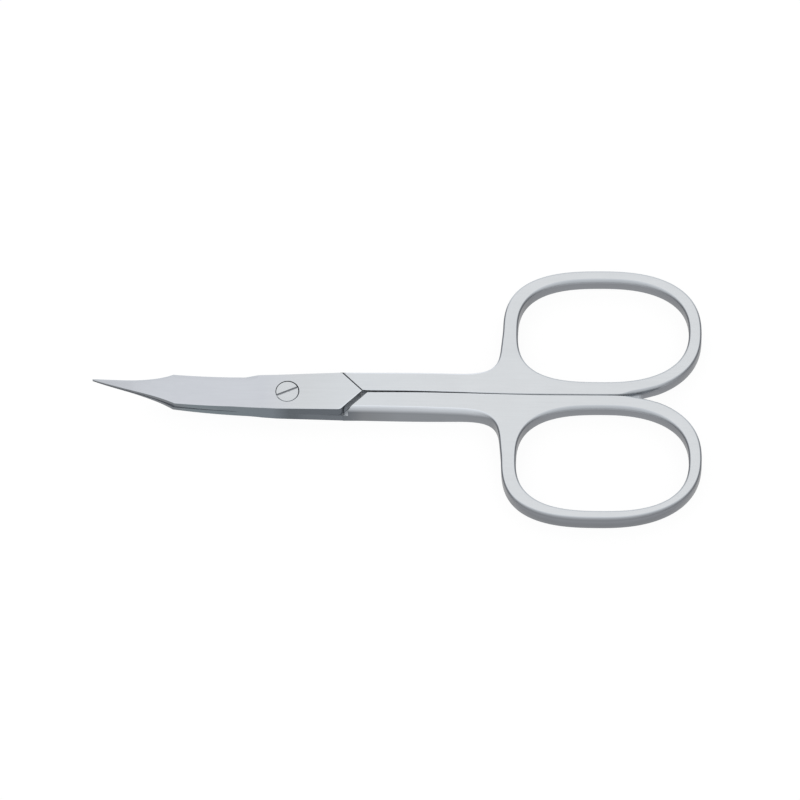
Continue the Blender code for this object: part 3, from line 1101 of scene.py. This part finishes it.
class Wiring:
    """Short calls that add nodes to one node tree and link them."""

    def __init__(self, tree: bpy.types.NodeTree) -> None:
        """Work on the given tree."""
        self.tree = tree

    def feed(self, socket: bpy.types.NodeSocket, value: object) -> None:
        """Link an output socket to an input, or set the input to a plain value.

        Args:
            socket: Input socket.
            value: What goes in.
        """
        if isinstance(value, bpy.types.NodeSocket):
            self.tree.links.new(value, socket)
        else:
            socket.default_value = value

    def node(self, kind: str, links: dict | None = None, **settings: object) -> bpy.types.Node:
        """Add a node.

        Args:
            kind: Node type.
            links: Input name or index to the output socket or the plain value that goes in.
            **settings: Properties of the node.

        Returns:
            The new node.
        """
        made = self.tree.nodes.new(kind)
        for name, value in settings.items():
            setattr(made, name, value)
        for key, value in (links or {}).items():
            self.feed(made.inputs[key], value)
        return made

    def math(self, operation: str, *values: object) -> bpy.types.NodeSocket:
        """Output of a Math node fed by the given sockets and numbers."""
        return self.node("ShaderNodeMath", dict(enumerate(values)), operation=operation).outputs[0]

    def vector(self, **parts: object) -> bpy.types.NodeSocket:
        """Output of a vector with the given parts X, Y and Z."""
        return self.node("ShaderNodeCombineXYZ", parts).outputs[0]

    def ranged(self, value: bpy.types.NodeSocket, span: tuple[float, float],
               low: float = 0.0, high: float = 1.0) -> bpy.types.NodeSocket:
        """Map a value from one range to another.

        Args:
            value: Socket of the value.
            span: Range that it comes from.
            low: Result at the start of that range.
            high: Result at its end.

        Returns:
            The result's socket.
        """
        ends = {"Value": value, "From Min": span[0], "From Max": span[1], "To Min": low, "To Max": high}
        return self.node("ShaderNodeMapRange", ends).outputs["Result"]

    def noise(self, place: bpy.types.NodeSocket, sizes: tuple[float, float, float],
              detail: float) -> bpy.types.NodeSocket:
        """Noise of its own size along each axis.

        Args:
            place: Coordinates.
            sizes: Size of its patches along X, Y and Z.
            detail: How many finer layers it has.

        Returns:
            The noise's socket, from 0 to 1.
        """
        scale = tuple(1 / size for size in sizes)
        stretched = self.node("ShaderNodeMapping", {"Vector": place, "Scale": scale}).outputs["Vector"]
        links = {"Vector": stretched, "Scale": 1.0, "Detail": detail}
        return self.node("ShaderNodeTexNoise", links).outputs["Fac"]


class ScrewTree(Wiring):
    """Geometry Nodes tree that turns a profile, cuts the slot and winds the thread.

    The thread's ridge reaches its full size an eighth of its length from either end, where it starts
    at a twentieth of that size.
    """

    SIZES = ("Slot Length", "Slot Width", "Slot Depth", "Slot Angle", "Head Top",
             "Thread Pitch Radius", "Thread Ridge", "Thread Turns", "Thread Length", "Thread Start")
    AXIS_WELD = 10 * WELD
    RIDGE_SIDES = 3
    FADE_RATE = 8.0
    LEAST_RIDGE = 0.05

    def __init__(self) -> None:
        """Start an empty tree with its named inputs."""
        super().__init__(bpy.data.node_groups.new("pivot_screw", "GeometryNodeTree"))
        self.add_socket("Geometry", "INPUT", "NodeSocketGeometry")
        self.add_socket("Facets", "INPUT", "NodeSocketInt")
        for name in self.SIZES:
            self.add_socket(name, "INPUT", "NodeSocketFloat")
        self.add_socket("Finish", "INPUT", "NodeSocketMaterial")
        self.add_socket("Geometry", "OUTPUT", "NodeSocketGeometry")
        self.source = self.tree.nodes.new("NodeGroupInput")

    def add_socket(self, name: str, direction: str, kind: str) -> None:
        """Add one named socket to the tree's interface."""
        self.tree.interface.new_socket(name=name, in_out=direction, socket_type=kind)

    def value(self, name: str) -> bpy.types.NodeSocket:
        """Output socket of a named input of the tree."""
        return self.source.outputs[name]

    def turned_body(self) -> bpy.types.NodeSocket:
        """Turn the profile about Z by sweeping it round a circle so small that it is the axis.

        Returns:
            Socket of the turned body.
        """
        ring = {"Resolution": self.value("Facets"), "Radius": WELD}
        circle = self.node("GeometryNodeCurvePrimitiveCircle", ring).outputs["Curve"]
        level = self.node("GeometryNodeSetCurveNormal", {"Curve": circle}, mode="Z_UP").outputs["Curve"]
        outline = self.node("GeometryNodeMeshToCurve", {"Mesh": self.value("Geometry")}).outputs["Curve"]
        sweep = {"Curve": level, "Profile Curve": outline}
        swept = self.node("GeometryNodeCurveToMesh", sweep).outputs["Mesh"]
        weld = {"Geometry": swept, "Distance": self.AXIS_WELD}
        return self.node("GeometryNodeMergeByDistance", weld).outputs["Geometry"]

    def slotted(self, body: bpy.types.NodeSocket) -> bpy.types.NodeSocket:
        """Cut the driver's slot across the head.

        Args:
            body: Socket of the turned body.

        Returns:
            Socket of the slotted body.
        """
        depth = self.math("MULTIPLY", self.value("Slot Depth"), 2.0)
        size = self.vector(X=self.value("Slot Length"), Y=self.value("Slot Width"), Z=depth)
        bar = self.node("GeometryNodeMeshCube", {"Size": size}).outputs["Mesh"]
        place, turn = self.vector(Z=self.value("Head Top")), self.vector(Z=self.value("Slot Angle"))
        laid = self.node("GeometryNodeTransform", {"Geometry": bar, "Translation": place, "Rotation": turn})
        shapes = {"Mesh 1": body, "Mesh 2": laid.outputs["Geometry"]}
        cut = self.node("GeometryNodeMeshBoolean", shapes, operation="DIFFERENCE", solver="EXACT")
        return cut.outputs["Mesh"]

    def thread(self) -> bpy.types.NodeSocket:
        """Wind the thread's ridge, which runs out to nothing at both ends.

        Returns:
            Socket of the wound ridge.
        """
        radius = self.value("Thread Pitch Radius")
        spiral = self.node("GeometryNodeCurveSpiral", {
            "Resolution": self.value("Facets"), "Rotations": self.value("Thread Turns"),
            "Start Radius": radius, "End Radius": radius, "Height": self.value("Thread Length")})
        raised = self.node("GeometryNodeTransform", {
            "Geometry": spiral.outputs["Curve"], "Translation": self.vector(Z=self.value("Thread Start"))})
        share = self.node("GeometryNodeSplineParameter").outputs["Factor"]
        nearest = self.math("MINIMUM", share, self.math("SUBTRACT", 1.0, share))
        faded = self.math("MINIMUM", self.math("MULTIPLY", nearest, self.FADE_RATE), 1.0)
        ridge = self.node("GeometryNodeCurvePrimitiveCircle", {
            "Resolution": self.RIDGE_SIDES, "Radius": self.value("Thread Ridge")})
        wound = self.node("GeometryNodeCurveToMesh", {
            "Curve": raised.outputs["Geometry"], "Profile Curve": ridge.outputs["Curve"],
            "Fill Caps": True, "Scale": self.math("MAXIMUM", faded, self.LEAST_RIDGE)})
        return wound.outputs["Mesh"]

    def group(self) -> bpy.types.GeometryNodeTree:
        """Link the whole tree.

        Returns:
            The tree, ready for a Nodes modifier.
        """
        body = self.slotted(self.turned_body())
        joined = self.node("GeometryNodeJoinGeometry")
        self.tree.links.new(self.thread(), joined.inputs[0])
        self.tree.links.new(body, joined.inputs[0])
        real = self.node("GeometryNodeRealizeInstances", {"Geometry": joined.outputs["Geometry"]})
        dressed = self.node("GeometryNodeSetMaterial", {
            "Geometry": real.outputs["Geometry"], "Material": self.value("Finish")})
        self.node("NodeGroupOutput", {"Geometry": dressed.outputs["Geometry"]})
        return self.tree


@dataclass(frozen=True)
class Tone:
    """Colour of the steel at one place along the scissors, with x in millimetres; for rims and flanks it is
    painted highlight and shade.
    """

    x: float
    colour: tuple[float, float, float]


@dataclass(frozen=True)
class SteelFinishAndShade:
    """Satin stainless steel with painted shade: bright on its broad faces, with darker tones on its rims
    and flanks that stand in for the shade and dim reflections there.

    Each of the three has its tones along the scissors: the faces' darker towards the tip, the rims' a
    painted highlight and shade that is lightest about the joint, the flanks' a painted shade that
    varies along the length. With a rising shade lay the flank's tone turns into the rim's from
    flank_end to rim_start, and the rim's into the face's from rim_end to face_start. A shade lay below
    0 paints more shade on the bends of the rings, and one between 1 and 2 a painted sheen in
    gap_sheen_colour.
    """

    name: str
    faces: tuple[Tone, ...] = (
        Tone(-20.0, (0.54, 0.56, 0.60)),
        Tone(-14.0, (0.565, 0.585, 0.605)),
        Tone(-6.0, (0.60, 0.625, 0.65)),
        Tone(10.0, (0.60, 0.62, 0.64)),
    )
    # Rim tones: painted highlight and shade on the rounded rims.
    rim_shades: tuple[Tone, ...] = (
        Tone(-20.0, (0.46, 0.50, 0.54)),
        Tone(-6.0, (0.70, 0.735, 0.78)),
        Tone(11.0, (0.70, 0.735, 0.78)),
        Tone(20.0, (0.50, 0.53, 0.565)),
    )
    # Flank tones: painted shade on upright sides, standing in for the dim reflections they show.
    flank_shades: tuple[Tone, ...] = (
        Tone(-34.0, (0.17, 0.18, 0.195)),
        Tone(-30.0, (0.165, 0.20, 0.22)),
        Tone(-18.5, (0.155, 0.18, 0.205)),
        Tone(-16.0, (0.09, 0.105, 0.12)),
        Tone(-8.2, (0.10, 0.115, 0.135)),
        Tone(-5.0, (0.20, 0.21, 0.225)),
        Tone(0.0, (0.235, 0.25, 0.27)),
        Tone(16.0, (0.235, 0.245, 0.265)),
    )
    # Colour of the painted sheen on the walls along the gap.
    gap_sheen_colour: tuple[float, float, float] = (0.68, 0.70, 0.72)
    flank_end: float = 0.12
    rim_start: float = 0.66
    rim_end: float = 0.985
    face_start: float = 0.994
    bend_shade: float = 0.45
    cloud_size: float = 6 * MM
    cloud_strength: float = 0.03
    cloud_detail: float = 3.0
    streak_length: float = 7 * MM
    streak_width: float = 0.3 * MM
    streak_strength: float = 0.035
    streak_detail: float = 2.0
    roughness: float = 0.32
    roughness_spread: float = 0.06
    grain_length: float = 2.5 * MM
    grain_pitch: float = 0.05 * MM
    grain_height: float = 0.0125 * MM
    grain_depth: float = 0.12
    grain_detail: float = 4.0

    def tone(self, wiring: Wiring, x: bpy.types.NodeSocket, tones: Sequence[Tone]) -> bpy.types.NodeSocket:
        """Colour that follows its stations along the scissors.

        Args:
            wiring: Wiring of the material's tree.
            x: Place along the scissors.
            tones: Stations in rising x.

        Returns:
            The colour's socket.
        """
        first, last = tones[0].x, tones[-1].x
        ramp = wiring.node("ShaderNodeValToRGB", {"Fac": wiring.ranged(x, (first * MM, last * MM))})
        stops = ramp.color_ramp.elements
        stops.remove(stops[1])
        stops[0].position, stops[0].color = 0.0, (*tones[0].colour, 1.0)
        for station in tones[1:]:
            stops.new((station.x - first) / (last - first)).color = (*station.colour, 1.0)
        return ramp.outputs["Color"]

    def colour(self, wiring: Wiring, place: bpy.types.NodeSocket) -> bpy.types.NodeSocket:
        """Tone by place and shade lay, which paints shade on flanks, rims and bends and a sheen on the gap
        walls, with faint clouds and streaks.

        Args:
            wiring: Wiring of the material's tree.
            place: Object coordinates.

        Returns:
            The colour's socket.
        """
        shade_lay = wiring.node("ShaderNodeAttribute", attribute_name=SHADE_LAY).outputs["Fac"]
        x = wiring.node("ShaderNodeSeparateXYZ", {"Vector": place}).outputs["X"]
        steel, rim, face = (self.tone(wiring, x, tones) for tones in (self.flank_shades, self.rim_shades, self.faces))
        # Colour of the painted sheen on the walls along the gap.
        wall = (*self.gap_sheen_colour, 1.0)
        for span, higher in (((self.flank_end, self.rim_start), rim), ((self.rim_end, self.face_start), face),
                             ((LEVEL, GAP_SHEEN_LAY), wall)):
            blend = {"Factor": wiring.ranged(shade_lay, span), 6: steel, 7: higher}
            steel = wiring.node("ShaderNodeMix", blend, data_type="RGBA").outputs[2]
        streak_sizes = (self.streak_length, self.streak_width, self.streak_width)
        clouds = wiring.noise(place, (self.cloud_size,) * 3, self.cloud_detail)
        streaks = wiring.noise(place, streak_sizes, self.streak_detail)
        shade = wiring.ranged(shade_lay, (-1.0, UPRIGHT), self.bend_shade)
        for pattern, strength in ((clouds, self.cloud_strength), (streaks, self.streak_strength)):
            uneven = wiring.ranged(pattern, (0.0, 1.0), 1 - strength, 1 + strength)
            shade = wiring.math("MULTIPLY", shade, uneven)
        shaded = wiring.node("ShaderNodeVectorMath", {0: steel, "Scale": shade}, operation="SCALE")
        return shaded.outputs["Vector"]

    def material(self) -> bpy.types.Material:
        """Build the node material.

        Returns:
            The material, which reads Object coordinates and the shade lay.
        """
        made = bpy.data.materials.new(self.name)
        made.use_nodes = True
        wiring = Wiring(made.node_tree)
        place = wiring.node("ShaderNodeTexCoord").outputs["Object"]
        grain_sizes = (self.grain_length, self.grain_pitch, self.grain_pitch)
        grain = wiring.noise(place, grain_sizes, self.grain_detail)
        smoothest, roughest = self.roughness - self.roughness_spread, self.roughness + self.roughness_spread
        bump = wiring.node("ShaderNodeBump", {
            "Strength": self.grain_depth, "Distance": self.grain_height, "Height": grain})
        shader = made.node_tree.nodes["Principled BSDF"].inputs
        wiring.feed(shader["Metallic"], 1.0)
        wiring.feed(shader["Base Color"], self.colour(wiring, place))
        wiring.feed(shader["Roughness"], wiring.ranged(grain, (0.0, 1.0), smoothest, roughest))
        wiring.feed(shader["Normal"], bump.outputs["Normal"])
        return made


# Satin steel whose flanks and rims carry painted shade and highlight.
SATIN_STEEL_AND_SHADE = SteelFinishAndShade(Slot.SATIN.value)
# The screw's upright sides and the walls of its slot get a darker painted shade.
SCREW_STEEL_AND_SHADE = SteelFinishAndShade(
    Slot.SCREW.value,
    faces=(Tone(-18.0, (0.56, 0.58, 0.60)), Tone(-14.0, (0.56, 0.58, 0.60))),
    flank_shades=(Tone(-18.0, (0.30, 0.31, 0.33)), Tone(-14.0, (0.30, 0.31, 0.33))),
    roughness=0.28,
)


@dataclass
class Scissors:
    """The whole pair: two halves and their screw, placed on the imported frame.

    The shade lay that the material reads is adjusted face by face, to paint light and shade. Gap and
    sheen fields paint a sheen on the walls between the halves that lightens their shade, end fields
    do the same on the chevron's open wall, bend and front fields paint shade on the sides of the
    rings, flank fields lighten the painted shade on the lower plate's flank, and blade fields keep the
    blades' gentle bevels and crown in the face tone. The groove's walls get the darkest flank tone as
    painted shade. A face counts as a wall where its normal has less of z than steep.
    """

    joint: JointForm
    handle: HandleForm
    blade: BladeForm
    screw: PivotScrew
    place: Vector
    sharp_angle: float = math.radians(28)
    overlap: float = 0.03 * MM
    steep: float = 0.5
    groove_wall: float = 0.95
    # Reach and fade of the painted sheen on the walls along the gap.
    gap_sheen: float = 1.1 * MM
    wall_tilt: float = 0.15
    sheen_reach: float = 4.0 * MM
    sheen_fade: float = 2.5 * MM
    # Painted sheen on the chevron's open end wall.
    end_lay: float = 0.35
    end_rise: float = 4.0
    end_fall: float = 5.0
    end_stop: float = 4.2
    rim_lay: float = 0.985
    # Painted shade on the rings' bends and far front.
    bend_lay_loss: float = 0.8
    bend_easing: float = 2.5
    front_lay_loss: float = 0.4
    # Lightens the painted shade on the lower plate's flank.
    lower_flank_lay: float = 0.15
    flank_shift: float = 0.5
    blade_lay: float = 0.8
    blade_evenness: float = 5.0

    @classmethod
    def from_frame(cls, frame: dict) -> Scissors:
        """Read the reaches and the pivot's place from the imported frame.


        Returns:
            The scissors, sized to that frame.
        """
        pivot = Vector(frame["joints"][0]["pos_m"])
        low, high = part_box(Half.UPPER.value)
        joint = JointForm()
        blade = BladeForm(joint, reach=pivot.x - low.x)
        handle = HandleForm(joint, reach=high.x - pivot.x, ring_top=high.y)
        return cls(joint, handle, blade, PivotScrew(blade), pivot)

    def prism(self, reach: float, low: float, high: float) -> bpy.types.Mesh:
        """Block over all that lies on the pivot's side of a diagonal through (reach, 0).

        Args:
            reach: Where the diagonal meets the centre line.
            low: Height of the block's underside.
            high: Height of its top.

        Returns:
            The block.
        """
        far = 3 * self.joint.plate_width
        corners = [(-far, -far), (reach + far, -far), (reach - far, far), (-far, far)]
        return lofted([[Vector((x, y, z)) for x, y in corners] for z in (low, high)], "prism")

    def groove(self) -> bpy.types.Mesh:
        """V-shaped cutter along the step on the outer face.

        Returns:
            The cutter.
        """
        joint, width = self.joint, self.joint.groove_width
        away, step = Vector((1, 1, 0)).normalized(), Vector((1, -1, 0)).normalized()
        quarter = joint.plate_width / 4
        middle = Vector((joint.step_reach - quarter, quarter, joint.thickness / 2))
        up = Vector((0, 0, joint.groove_depth))
        corners = [away * width * across + up * rise for across, rise in GROOVE_SECTION]
        ends = (-joint.plate_width / 2, (quarter - joint.apex.y) * math.sqrt(2) + width)
        return lofted([[middle + step * end + corner for corner in corners] for end in ends], "groove")

    def blank(self, half: Half) -> bpy.types.Mesh:
        """One flat half, without its screw hole.

        Args:
            half: Which of the two.

        Returns:
            Its mesh about the pivot axis, with the lay stored.
        """
        joint, overshoot = self.joint, self.joint.thickness
        under_plate = joint.face_gap / 2 + self.overlap
        mesh = combined(self.handle.mesh(half), [
            ("DIFFERENCE", self.prism(joint.step_reach, 0, overshoot)),
            ("DIFFERENCE", self.prism(joint.shoulder_reach, -overshoot, under_plate)),
            ("UNION", self.blade.mesh(half)),
            ("DIFFERENCE", self.groove()),
        ])
        self.store_lay(mesh, half)
        return mesh

    def store_lay(self, mesh: bpy.types.Mesh, half: Half | None) -> None:
        """Keep how far each corner faces up or down while the blade is flat, from which the material paints
        shade and sheen.

        Args:
            mesh: Mesh that gets the attribute.
            half: Half that the mesh is of, or None for the screw.
        """
        shaded = with_weighted_normals(mesh.copy(), self.sharp_angle)
        values = [abs(normal.vector.z) for normal in shaded.corner_normals]
        for face in mesh.polygons:
            for corner in face.loop_indices:
                if half:
                    values[corner] = self.painted_light_lay(half, face.center, face.normal, values[corner])
        layer = mesh.attributes.new(SHADE_LAY, "FLOAT", "CORNER")
        layer.data.foreach_set("value", values)

    def painted_light_lay(self, half: Half, centre: Vector, normal: Vector, shade_lay: float) -> float:
        """Adjust one corner's shade lay for the places that get more or less painted shade, or a painted
        sheen.

        Args:
            half: Half that the blank is for.
            centre: Middle of the corner's face on the flat blank.
            normal: Normal of that face.
            shade_lay: How far the corner faces up or down.

        Returns:
            The shade lay that the material reads.
        """
        joint = self.joint
        off_step = abs(centre.x + centre.y - joint.step_reach) / math.sqrt(2)
        off_end = abs(centre.x - centre.y - joint.apex.x + joint.apex.y) / math.sqrt(2)
        below_face = joint.thickness / 2 - centre.z
        in_groove = off_step < joint.groove_width and WELD < below_face < joint.groove_depth
        steep = abs(normal.z) < self.steep
        # Walls of the groove get the darkest flank tone: painted shade in the groove.
        if in_groove and abs(normal.z) < self.groove_wall:
            return UPRIGHT
        # Walls along the gap get a painted sheen that lightens their shade.
        if steep and centre.x > joint.apex.x and abs(centre.y) < joint.apex.y + self.gap_sheen:
            return max(shade_lay, self.gap_sheen_lay(half, centre, normal))
        # The chevron's open end wall gets a painted sheen that lightens its shade.
        if steep and off_end < joint.groove_width and centre.y < 0:
            return self.end_wall_sheen_lay(centre)
        # Rims and flanks round the rings' bends get painted shade.
        if centre.x > self.handle.ring_front - joint.thickness and shade_lay < self.rim_lay:
            return shade_lay - self.bend_shade_loss(half, centre, normal)
        # The painted shade on the lower plate's flank is lightened past the pivot.
        if steep and half is Half.LOWER and centre.y > 0 and centre.x < joint.step_reach - centre.y:
            past_pivot = centre.x / joint.plate_width
            return shade_lay + self.lower_flank_lay * smooth_step(past_pivot + self.flank_shift)
        # The blades' gentle bevels and crown keep the face tone, out of the painted rim tone.
        if centre.x < -self.blade.heel_start and shade_lay > self.blade_lay:
            return LEVEL - (LEVEL - shade_lay) / self.blade_evenness
        return shade_lay

    def gap_sheen_lay(self, half: Half, centre: Vector, normal: Vector) -> float:
        """Painted sheen on the wall along the gap between the halves, which lightens its shade and fades
        where the rings part.

        Args:
            half: Half that the blank is for.
            centre: Middle of the face.
            normal: Normal of the face.

        Returns:
            The least lay of that wall.
        """
        off_wall = max(0.0, abs(centre.y) - self.joint.apex.y)
        sheen = GAP_SHEEN_LAY - GAP_SHEEN_LAY * off_wall / self.gap_sheen
        if half is Half.LOWER:
            return sheen
        past = centre.x - self.handle.ring_centre.x
        if past > 0 and abs(normal.z) > self.wall_tilt:
            sheen = min(sheen, LEVEL)
        return sheen * smooth_step(1 - (past - self.sheen_reach) / self.sheen_fade)

    def end_wall_sheen_lay(self, centre: Vector) -> float:
        """Painted sheen on the chevron's open end wall, which lightens its shade but for both of its ends.

        Args:
            centre: Middle of the face.

        Returns:
            The lay there.
        """
        off_centre = -2 * centre.y / self.joint.plate_width
        open_lay = self.end_lay * (1 - off_centre)
        rise = smooth_step(self.end_rise * off_centre)
        fall = smooth_step(self.end_stop - self.end_fall * off_centre)
        return open_lay + (GAP_SHEEN_LAY - open_lay) * rise * fall

    def bend_shade_loss(self, half: Half, centre: Vector, normal: Vector) -> float:
        """Painted shade on a ring's rim and flank at its bends and at its far front.

        Args:
            half: Half that the blank is for.
            centre: Middle of the face.
            normal: Normal of the face.

        Returns:
            What the lay loses there.
        """
        outer_front = half is Half.LOWER and normal.y > 0 and centre.y > self.handle.ring_centre.y
        away = smooth_step(self.bend_easing * normal.y * half.side)
        endways = normal.x ** 2 / max(WELD, normal.x ** 2 + normal.y ** 2)
        return max(self.bend_lay_loss * (1 - away) * endways, self.front_lay_loss if outer_front else 0.0)

    def add_half(self, half: Half, material: bpy.types.Material) -> None:
        """Put one finished half in its place, which lies in its mesh and not in its object.

        Args:
            half: Which of the two.
            material: Finish of the steel.
        """
        mesh = self.blank(half)
        mesh.transform(half.turn)
        hole = self.screw.seat() if half is Half.UPPER else self.screw.tapped_hole()
        mesh = combined(mesh, [("DIFFERENCE", hole)])
        self.blade.bow(mesh)
        mesh.transform(Matrix.Translation(self.place))
        mesh = with_weighted_normals(mesh, self.sharp_angle)
        mesh.materials.clear()
        mesh.materials.append(material)
        piece = add_object(mesh, half.value + "_steel")
        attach(piece, half.body)
        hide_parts(half.value)
        LOG.info("%s: %d faces", piece.name, len(mesh.polygons))

    def add_screw(self, material: bpy.types.Material) -> None:
        """Put the finished screw in its place, which lies in its mesh too.

        Args:
            material: Finish of the screw.
        """
        mesh = self.screw.mesh(material)
        self.store_lay(mesh, None)
        mesh.transform(Matrix.Translation(self.place))
        mesh = with_weighted_normals(mesh, self.sharp_angle)
        piece = add_object(mesh, "pivot_screw_steel")
        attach(piece, Half.LOWER.body)
        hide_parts("pivot_screw")
        LOG.info("%s: %d faces", piece.name, len(mesh.polygons))

    def build(self) -> None:
        """Make and dress every piece."""
        satin = SATIN_STEEL_AND_SHADE.material()
        bright = SCREW_STEEL_AND_SHADE.material()
        for half in Half:
            self.add_half(half, satin)
        self.add_screw(bright)


@dataclass
class Studio:
    """Pale floor, soft light and the camera at the photograph's angle."""

    aim: Vector = field(default_factory=lambda: Vector((0.4, 0.0, 1.8)) * MM)
    distance: float = 876.4 * MM
    azimuth: float = math.radians(4.516)
    tilt: float = math.radians(29.577)
    roll: float = math.radians(3.599)
    pixels_per_metre: float = 6744.1
    picture_width: float = 800.0
    pixel_offset: tuple[float, float] = (0.52, -1.66)
    sensor: float = 36.0
    clip_range: tuple[float, float] = (0.1, 20.0)
    floor_size: float = 6.0
    floor_drop: float = 0.05 * MM
    floor_albedo: float = 0.12
    floor_roughness: float = 0.9
    floor_specular: float = 0.1
    white_lift: float = 0.91
    sky: float = 0.8
    zenith_gain: float = 0.2
    zenith_power: float = 2.0
    back_gain: float = 0.5
    back_power: float = 4.0
    side_loss: float = 0.4
    side_power: float = 2.0
    lamp_size: float = 1.6
    lamp_height: float = 1.6
    lamp_lean: float = 1 / 3
    lamp_power: float = 1.2

    def camera(self) -> None:
        """Aim the camera as the photograph was taken."""
        data = bpy.data.cameras.new("camera")
        data.sensor_width = self.sensor
        data.lens = self.sensor * self.pixels_per_metre * self.distance / self.picture_width
        data.clip_start, data.clip_end = (self.distance * share for share in self.clip_range)
        forward = Vector((-math.sin(self.azimuth), math.cos(self.azimuth), 0))
        right = Vector((math.cos(self.azimuth), math.sin(self.azimuth), 0))
        back = -forward * math.sin(self.tilt) + Vector((0, 0, math.cos(self.tilt)))
        up = back.cross(right)
        turned_right = right * math.cos(self.roll) - up * math.sin(self.roll)
        turned_up = right * math.sin(self.roll) + up * math.cos(self.roll)
        sideways, upwards = self.pixel_offset
        slide = (turned_right * -sideways + turned_up * upwards) / self.pixels_per_metre
        item = add_object(data, "camera")
        axes = Matrix((turned_right, turned_up, back)).transposed().to_4x4()
        item.matrix_world = Matrix.Translation(self.aim + slide + back * self.distance) @ axes
        bpy.context.scene.camera = item

    def white_rays(self, wiring: Wiring) -> bpy.types.NodeSocket:
        """Find the rays that see the floor white.

        Args:
            wiring: Wiring of the floor's material.

        Returns:
            Socket that is 1 for the camera's rays and for those in metal and glass.
        """
        rays = wiring.node("ShaderNodeLightPath").outputs
        seen = wiring.math("MAXIMUM", rays["Is Camera Ray"], rays["Is Glossy Ray"])
        return wiring.math("MAXIMUM", seen, rays["Is Transmission Ray"])

    def floor(self) -> None:
        """Lay the pale floor."""
        edited = bmesh.new()
        bmesh.ops.create_grid(edited, x_segments=1, y_segments=1, size=self.floor_size / 2)
        mesh = bpy.data.meshes.new("floor")
        edited.to_mesh(mesh)
        edited.free()
        mesh.transform(Matrix.Translation((0, 0, -self.floor_drop)))
        material = bpy.data.materials.new("pale_floor")
        material.use_nodes = True
        wiring = Wiring(material.node_tree)
        shader = material.node_tree.nodes["Principled BSDF"].inputs
        wiring.feed(shader["Base Color"], (*(self.floor_albedo,) * 3, 1.0))
        wiring.feed(shader["Roughness"], self.floor_roughness)
        wiring.feed(shader["Specular IOR Level"], self.floor_specular)
        wiring.feed(shader["Emission Color"], WHITE)
        lift = wiring.math("MULTIPLY", self.white_rays(wiring), self.white_lift)
        wiring.feed(shader["Emission Strength"], lift)
        mesh.materials.append(material)
        add_object(mesh, "floor")

    def sky_strength(self, wiring: Wiring) -> bpy.types.NodeSocket:
        """Light of the room: brighter above and behind the scissors, darker to the sides.

        Args:
            wiring: Wiring of the world's tree.

        Returns:
            Socket of the background's strength.
        """
        direction = wiring.node("ShaderNodeTexCoord").outputs["Generated"]
        x, y, z = wiring.node("ShaderNodeSeparateXYZ", {"Vector": direction}).outputs
        above = wiring.math("POWER", z, self.zenith_power)
        behind = wiring.math("POWER", wiring.math("MAXIMUM", y, 0.0), self.back_power)
        sideways = wiring.math("POWER", wiring.math("ABSOLUTE", x), self.side_power)
        total = wiring.math("MULTIPLY_ADD", above, self.zenith_gain, self.sky)
        total = wiring.math("MULTIPLY_ADD", behind, self.back_gain, total)
        total = wiring.math("MULTIPLY_ADD", sideways, -self.side_loss, total)
        seen = wiring.node("ShaderNodeLightPath").outputs["Is Camera Ray"]
        return wiring.math("MAXIMUM", total, seen)

    def light(self) -> None:
        """Hang a broad soft lamp overhead in an even pale room."""
        world = bpy.data.worlds.new("room")
        bpy.context.scene.world = world
        world.use_nodes = True
        wiring = Wiring(world.node_tree)
        background = world.node_tree.nodes["Background"].inputs
        wiring.feed(background["Color"], WHITE)
        wiring.feed(background["Strength"], self.sky_strength(wiring))
        data = bpy.data.lights.new("overhead", "AREA")
        data.shape = "DISK"
        data.size = self.lamp_size
        data.energy = self.lamp_power
        item = add_object(data, "overhead")
        item.location = (0, self.lamp_height * self.lamp_lean, self.lamp_height)
        item.rotation_euler = (-math.atan(self.lamp_lean), 0, 0)

    def build(self) -> None:
        """Set up floor, light, camera and the plain view."""
        self.floor()
        self.light()
        self.camera()
        bpy.context.scene.view_settings.view_transform = "Standard"


def main() -> None:
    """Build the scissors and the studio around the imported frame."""
    logging.basicConfig(level=logging.INFO, format="%(name)s: %(message)s")
    for item in list(bpy.data.objects):
        bpy.data.objects.remove(item)
    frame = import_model()
    Studio().build()
    Scissors.from_frame(frame).build()
    LOG.info("sizes written")


if __name__ == "__main__":
    main()
